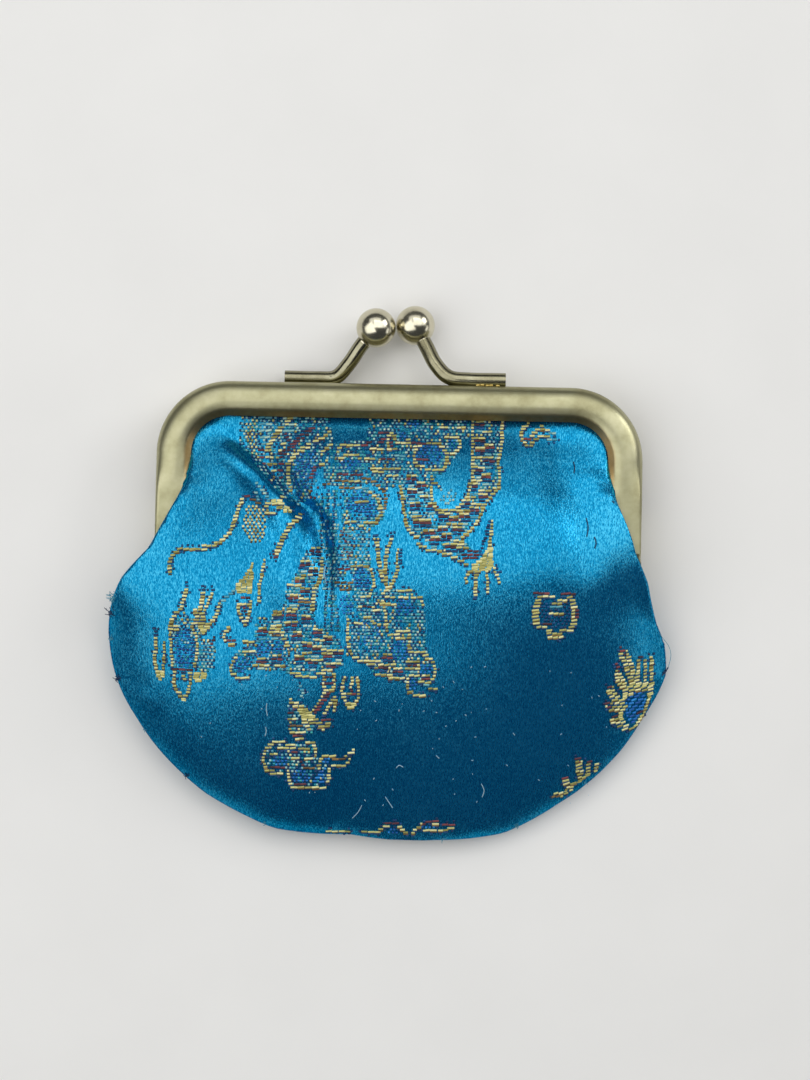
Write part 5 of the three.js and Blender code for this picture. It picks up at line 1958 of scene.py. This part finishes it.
THREAD_TONES = {
    # material, tones from dark to light, how metallic, how rough
    "gold": (
        "foil_wound_thread_gold", [(0.0, "#8E8A48"), (0.45, "#C8C478"), (1.0, "#F0EAAC")], 0.25, 0.42,
    ),
    "maroon": (
        "spun_silk_maroon", [(0.0, "#3A1E2A"), (0.5, "#5E2F3A"), (1.0, "#843F40")], 0.1, 0.5,
    ),
    "blue": (
        "spun_silk_royal_blue", [(0.0, "#06509A"), (0.5, "#0C6CBC"), (1.0, "#2A92DC")], 0.3, 0.42,
    ),
    "navy": (
        "spun_silk_navy", [(0.0, "#0A2A50"), (0.5, "#0C3A6A"), (1.0, "#165288")], 0.2, 0.45,
    ),
    "teal": (
        "spun_silk_teal", [(0.0, "#0A6076"), (0.5, "#158A9A"), (1.0, "#3CA8A8")], 0.3, 0.42,
    ),
    "pale": (
        "spun_silk_pale_green", [(0.0, "#4496AE"), (0.5, "#7CB8BA"), (1.0, "#BCD9C8")], 0.2, 0.45,
    ),
    "copper": (
        "foil_wound_thread_copper", [(0.0, "#4A3A22"), (0.5, "#6E5530"), (1.0, "#9A7C4A")], 0.3, 0.42,
    ),
}
THREAD_FINISH = {thread: figure_thread(*finish) for thread, finish in THREAD_TONES.items()}
print("threads:", sorted(THREAD_FINISH))

# %% Set the floats on the cloth
FLOAT_LIFT = 0.06
FLOAT_REST = 0.14
FLOAT_SLANT = 0.1
FLOAT_TURN = 0.06
FLOAT_STRAY = 0.04
RAY_START = 40.0


def cloth_tree(panel):
    """A search tree of a panel's faces, for rays."""
    corners = [v.co for v in panel.data.vertices]
    return BVHTree.FromPolygons(corners, [list(f.vertices) for f in panel.data.polygons])


def set_floats(name, thread, panel_tree, facing):
    """One thread's floats on one panel; facing is 1 for the front and -1 for the back."""
    spots, lengths, widths, along, up, shades = [], [], [], [], [], []
    for kind, x, y, length, width in runs:
        if kind != thread:
            continue
        stray_x, stray_y = weaver.normal(0, FLOAT_STRAY, 2)
        start = place((x + stray_x) * facing, y + stray_y, RAY_START * facing)
        hit, normal, _, _ = panel_tree.ray_cast(start, Vector((0, 0, -facing)))
        if hit is None or abs(normal.z) < STEEPEST:
            continue
        normal = normal if normal.z * facing > 0 else -normal
        aim = Vector((1, weaver.normal(FLOAT_SLANT * facing, FLOAT_TURN), 0))
        run = (aim - normal * normal.dot(aim)).normalized()
        spot = hit + normal * FLOAT_LIFT * MM * width / FLOAT_WIDTH
        spot.z = max(spot.z, FLOAT_REST * MM)
        spots.append(spot)
        lengths.append(length * MM)
        widths.append(width * MM)
        along.append(run)
        up.append(normal)
        shades.append(weaver.random())
    holder = point_object(name, spots)
    marks = holder.data.attributes
    for label, values in [("run_length", lengths), ("run_width", widths), ("shade", shades)]:
        marks.new(label, "FLOAT", "POINT").data.foreach_set("value", values)
    for label, values in [("run_along", along), ("run_up", up)]:
        marks.new(label, "FLOAT_VECTOR", "POINT").data.foreach_set("vector", np.ravel(values))
    piece = run_tree(holder, weft_tree, {"Flatness": FLOAT_FLATNESS, "Thread": THREAD_FINISH[thread]})
    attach(piece, BODY)
    return piece


figures = {"front_cloth": [], "back_cloth": []}
for panel_name, facing in [("front_cloth", 1), ("back_cloth", -1)]:
    lie = cloth_tree(panels[panel_name])
    side = panel_name.split("_")[0]
    for thread in THREADS[1:]:
        piece = set_floats(f"figure_{thread}_{side}", thread, lie, facing)
        figures[panel_name].append(piece)
        print(piece.name, len(piece.data.polygons), "faces")

# %% [markdown]
# The two panels are sewn face to face along the seam and turned, so only short bits of the sewing
# thread show in the groove between them. A tree cuts the seam's path into stitch lengths and lays a
# short thread along each. The path comes from the cloth itself: the outermost points of the panel.

# %% Seam stitches
STITCH = 2.4
STITCH_LENGTH = 1.5
STITCH_WIDTH = 0.22
STITCH_INSET = 0.55
SEAM_START = 37.0
SEAM_POINTS = 120
SEAM_WINDOW = 0.03
RIM_BAND = 0.5


def seam_path(panel):
    """Points round the lower edge of a panel, left hinge to right hinge, where the panels meet."""
    corners = np.array([v.co for v in panel.data.vertices]) / MM
    across = corners[:, 0] - MIDDLE_X
    down = TOP_Y - corners[:, 1]
    turn = np.arctan2(down - BAG_SIDE, across)
    reach = np.hypot(across, down - BAG_SIDE)
    first = math.atan2(SEAM_START - BAG_SIDE, -BAG_HALF) % (2 * math.pi)
    path = []
    for angle in np.linspace(first, math.pi - first, SEAM_POINTS):
        near = np.abs((turn - angle + math.pi) % (2 * math.pi) - math.pi) < SEAM_WINDOW
        rim = near & (reach > reach[near].max() - RIM_BAND)
        lowest = corners[rim, 2].min()
        far = reach[near].max() - STITCH_INSET
        path.append(place(far * math.cos(angle), BAG_SIDE + far * math.sin(angle), lowest))
    return path


def stitch_tree():
    """Short threads laid end to end along a path."""
    tree, given = new_tree(
        "seam_stitch",
        [
            ("Spacing", "NodeSocketFloat"),
            ("Length", "NodeSocketFloat"),
            ("Width", "NodeSocketFloat"),
            ("Thread", "NodeSocketMaterial"),
        ],
    )
    spots = add_node(
        tree,
        "GeometryNodeCurveToPoints",
        {"mode": "LENGTH"},
        {"Curve": given["Geometry"], "Length": given["Spacing"]},
    )
    bead = add_node(tree, "GeometryNodeMeshUVSphere", inputs={"Segments": 6, "Rings": 5, "Radius": 0.5})
    size = add_node(
        tree,
        "ShaderNodeCombineXYZ",
        inputs={"X": given["Width"], "Y": given["Width"], "Z": given["Length"]},
    )
    placed = add_node(
        tree,
        "GeometryNodeInstanceOnPoints",
        inputs={
            "Points": spots.outputs["Points"],
            "Instance": bead.outputs["Mesh"],
            "Rotation": spots.outputs["Rotation"],
            "Scale": size.outputs["Vector"],
        },
    )
    close_tree(tree, placed.outputs["Instances"], given["Thread"])
    return tree


sewing_thread = figure_thread(
    "sewing_thread_blue", [(0.0, "#064A70"), (0.5, "#0A648F"), (1.0, "#1580AC")], 0.2, 0.5
)
seam = seam_path(panels["front_cloth"])
stitches = run_tree(
    path_object("seam_stitches", [seam]),
    stitch_tree(),
    {
        "Spacing": STITCH * MM,
        "Length": STITCH_LENGTH * MM,
        "Width": STITCH_WIDTH * MM,
        "Thread": sewing_thread,
    },
)
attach(stitches, BODY)
print("seam stitches:", len(stitches.data.polygons), "faces")

# %% [markdown]
# A used purse sheds: pale lint lies on the lower half, a few warp threads are pulled beside the
# frame, and cut ends stick out of the seam. Each is a fine round thread along a short path, so one
# tree serves all. Points on the cloth are laid by a ray; points past its edge keep the seam's height.

# %% Where threads lie loose
LINT = [
    [(0.5, 66.8), (1, 66.3), (1.7, 66.6)],
    [(-1.3, 72.1), (-0.7, 73), (0, 74.1)],
    [(-5.4, 73.8), (-6, 75), (-7, 76.2)],
    [(-22, 55.8), (-22.1, 56.8), (-21.9, 58)],
    [(-22.2, 60), (-22.1, 60.8), (-22.3, 61.6)],
    [(-12, 31), (-12.5, 33), (-12.1, 35)],
    [(15.4, 69.4), (15.9, 70.6), (15.6, 71.8)],
    [(7.4, 64.4), (7.9, 64.9)],
    [(20.6, 60.2), (20.9, 60.6)],
    [(12.2, 57), (12.4, 57.3)],
]
PULLED = [
    [(30.3, 13), (30.5, 14), (30.4, 15)],
    [(32.5, 22.8), (32.8, 24.4), (32.6, 26)],
    [(33.9, 26), (34.2, 27), (34, 28)],
    [(37, 19.7), (37.4, 20.1)],
    [(46.9, 50.1), (47.5, 49.7), (48.1, 48.7)],
]
LOOSE_END = [(48.1, 48.7), (48.5, 46.7), (48.1, 45.05), (47, 43.6), (46.2, 42.7)]
TUFTS = [
    # across, down, hairs, their length, and whether they are pale
    (-48.8, 38.2, 22, 1.8, True),
    (-49.6, 40.8, 12, 1.5, False),
    (-49.2, 46, 8, 0.9, True),
    (-47.9, 52.6, 12, 1.2, False),
    (-43.2, 61.6, 5, 0.7, True),
    (-36.4, 68.6, 7, 0.8, False),
    (-22, 76.2, 5, 0.6, True),
    (8.6, 79.4, 6, 0.7, True),
    (22.2, 76.4, 9, 0.9, True),
    (34.6, 69.8, 5, 0.6, True),
    (48, 49.9, 5, 0.6, False),
]
print("lint:", len(LINT), "pulled:", len(PULLED), "tufts:", len(TUFTS))

# %% Hairs of the tufts
TUFT_SPREAD = 0.7
TUFT_SCATTER = 0.2
HAIR_BEND = 0.5
HAIR_SHORTEST = 0.4
HAIR_STEPS = 3


def seam_spot(x, y):
    """Across and down of the seam's nearest point to a spot."""
    nearest = min(seam, key=lambda spot: (spot - place(x, y, spot.z / MM)).length)
    return nearest.x / MM - MIDDLE_X, TOP_Y - nearest.y / MM


def tuft(x, y, hairs, length):
    """Short bent hairs that stick out of the seam at a spot."""
    x, y = seam_spot(x, y)
    outward = math.atan2(y - BAG_SIDE, x)
    paths = []
    for _ in range(hairs):
        turn = outward + weaver.normal(0, TUFT_SPREAD)
        bend = weaver.normal(0, HAIR_BEND)
        reach = length * weaver.uniform(HAIR_SHORTEST, 1.0) / HAIR_STEPS
        spot = np.array([x, y]) + weaver.normal(0, TUFT_SCATTER * length, 2)
        path = [tuple(spot)]
        for _ in range(HAIR_STEPS):
            spot = spot + reach * np.array([math.cos(turn), math.sin(turn)])
            turn += bend
            path.append(tuple(spot))
        paths.append(path)
    return paths


pale_hairs = [LOOSE_END]
pale_hairs += [path for x, y, n, size, pale in TUFTS if pale for path in tuft(x, y, n, size)]
dark_hairs = [path for x, y, n, size, pale in TUFTS if not pale for path in tuft(x, y, n, size)]
print("hairs:", len(pale_hairs), "pale,", len(dark_hairs), "dark")

# %% Lay the loose threads
THREAD_SIDES = 5
THREAD_STEPS = 5
DUST = 60
DUST_LENGTH = 0.35
DUST_SHORTEST = 0.3
DUST_AREA = ((-34, 48), (38, 74))
front_lie = cloth_tree(panels["front_cloth"])


def thread_tree():
    """A round thread along every path of a curve object."""
    tree, given = new_tree(
        "loose_thread", [("Radius", "NodeSocketFloat"), ("Thread", "NodeSocketMaterial")]
    )
    ring = add_node(
        tree,
        "GeometryNodeCurvePrimitiveCircle",
        inputs={"Resolution": THREAD_SIDES, "Radius": given["Radius"]},
    )
    tube = add_node(
        tree,
        "GeometryNodeCurveToMesh",
        inputs={"Curve": given["Geometry"], "Profile Curve": ring.outputs["Curve"], "Fill Caps": True},
    )
    close_tree(tree, tube.outputs["Mesh"], given["Thread"])
    return tree


def laid(path, lie, lift):
    """A smooth path of points laid on the cloth."""
    spots = []
    for x, y in smooth_path(path, THREAD_STEPS):
        hit, _, _, _ = lie.ray_cast(place(x, y, RAY_START), Vector((0, 0, -1)))
        if hit is None:
            edge, _, _, _ = lie.find_nearest(place(x, y, HINGE_HEIGHT))
            spots.append(place(x, y, edge.z / MM + lift))
        else:
            spots.append(hit + Vector((0, 0, lift * MM)))
    return spots


def loose_threads(name, paths, radius, lift, material):
    """A piece of loose threads of one kind."""
    holder = path_object(name, [laid(path, front_lie, lift) for path in paths])
    piece = run_tree(holder, loose_tree, {"Radius": radius * MM, "Thread": material})
    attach(piece, BODY)
    print(name, len(piece.data.polygons), "faces")


for _ in range(DUST):
    spot = weaver.uniform(*DUST_AREA)
    turn = weaver.uniform(0, 2 * math.pi)
    reach = weaver.uniform(DUST_SHORTEST, 1.0) * DUST_LENGTH * np.array([math.cos(turn), math.sin(turn)])
    LINT.append([tuple(spot), tuple(spot + reach)])
loose_tree = thread_tree()
cotton_lint = figure_thread("cotton_lint", [(0.0, "#AFCFDC"), (1.0, "#E4ECEC")], 0.0, 0.6)
LOOSE = [
    # piece, its paths, the thread's radius, its lift off the cloth, and its finish
    ("lint", LINT, 0.065, 0.12, cotton_lint),
    ("pulled_threads", PULLED, 0.12, 0.02, THREAD_FINISH["navy"]),
    ("frayed_ends_pale", pale_hairs, 0.045, 0.1, THREAD_FINISH["pale"]),
    ("frayed_ends_dark", dark_hairs, 0.055, 0.1, THREAD_FINISH["navy"]),
]
for row in LOOSE:
    loose_threads(*row)
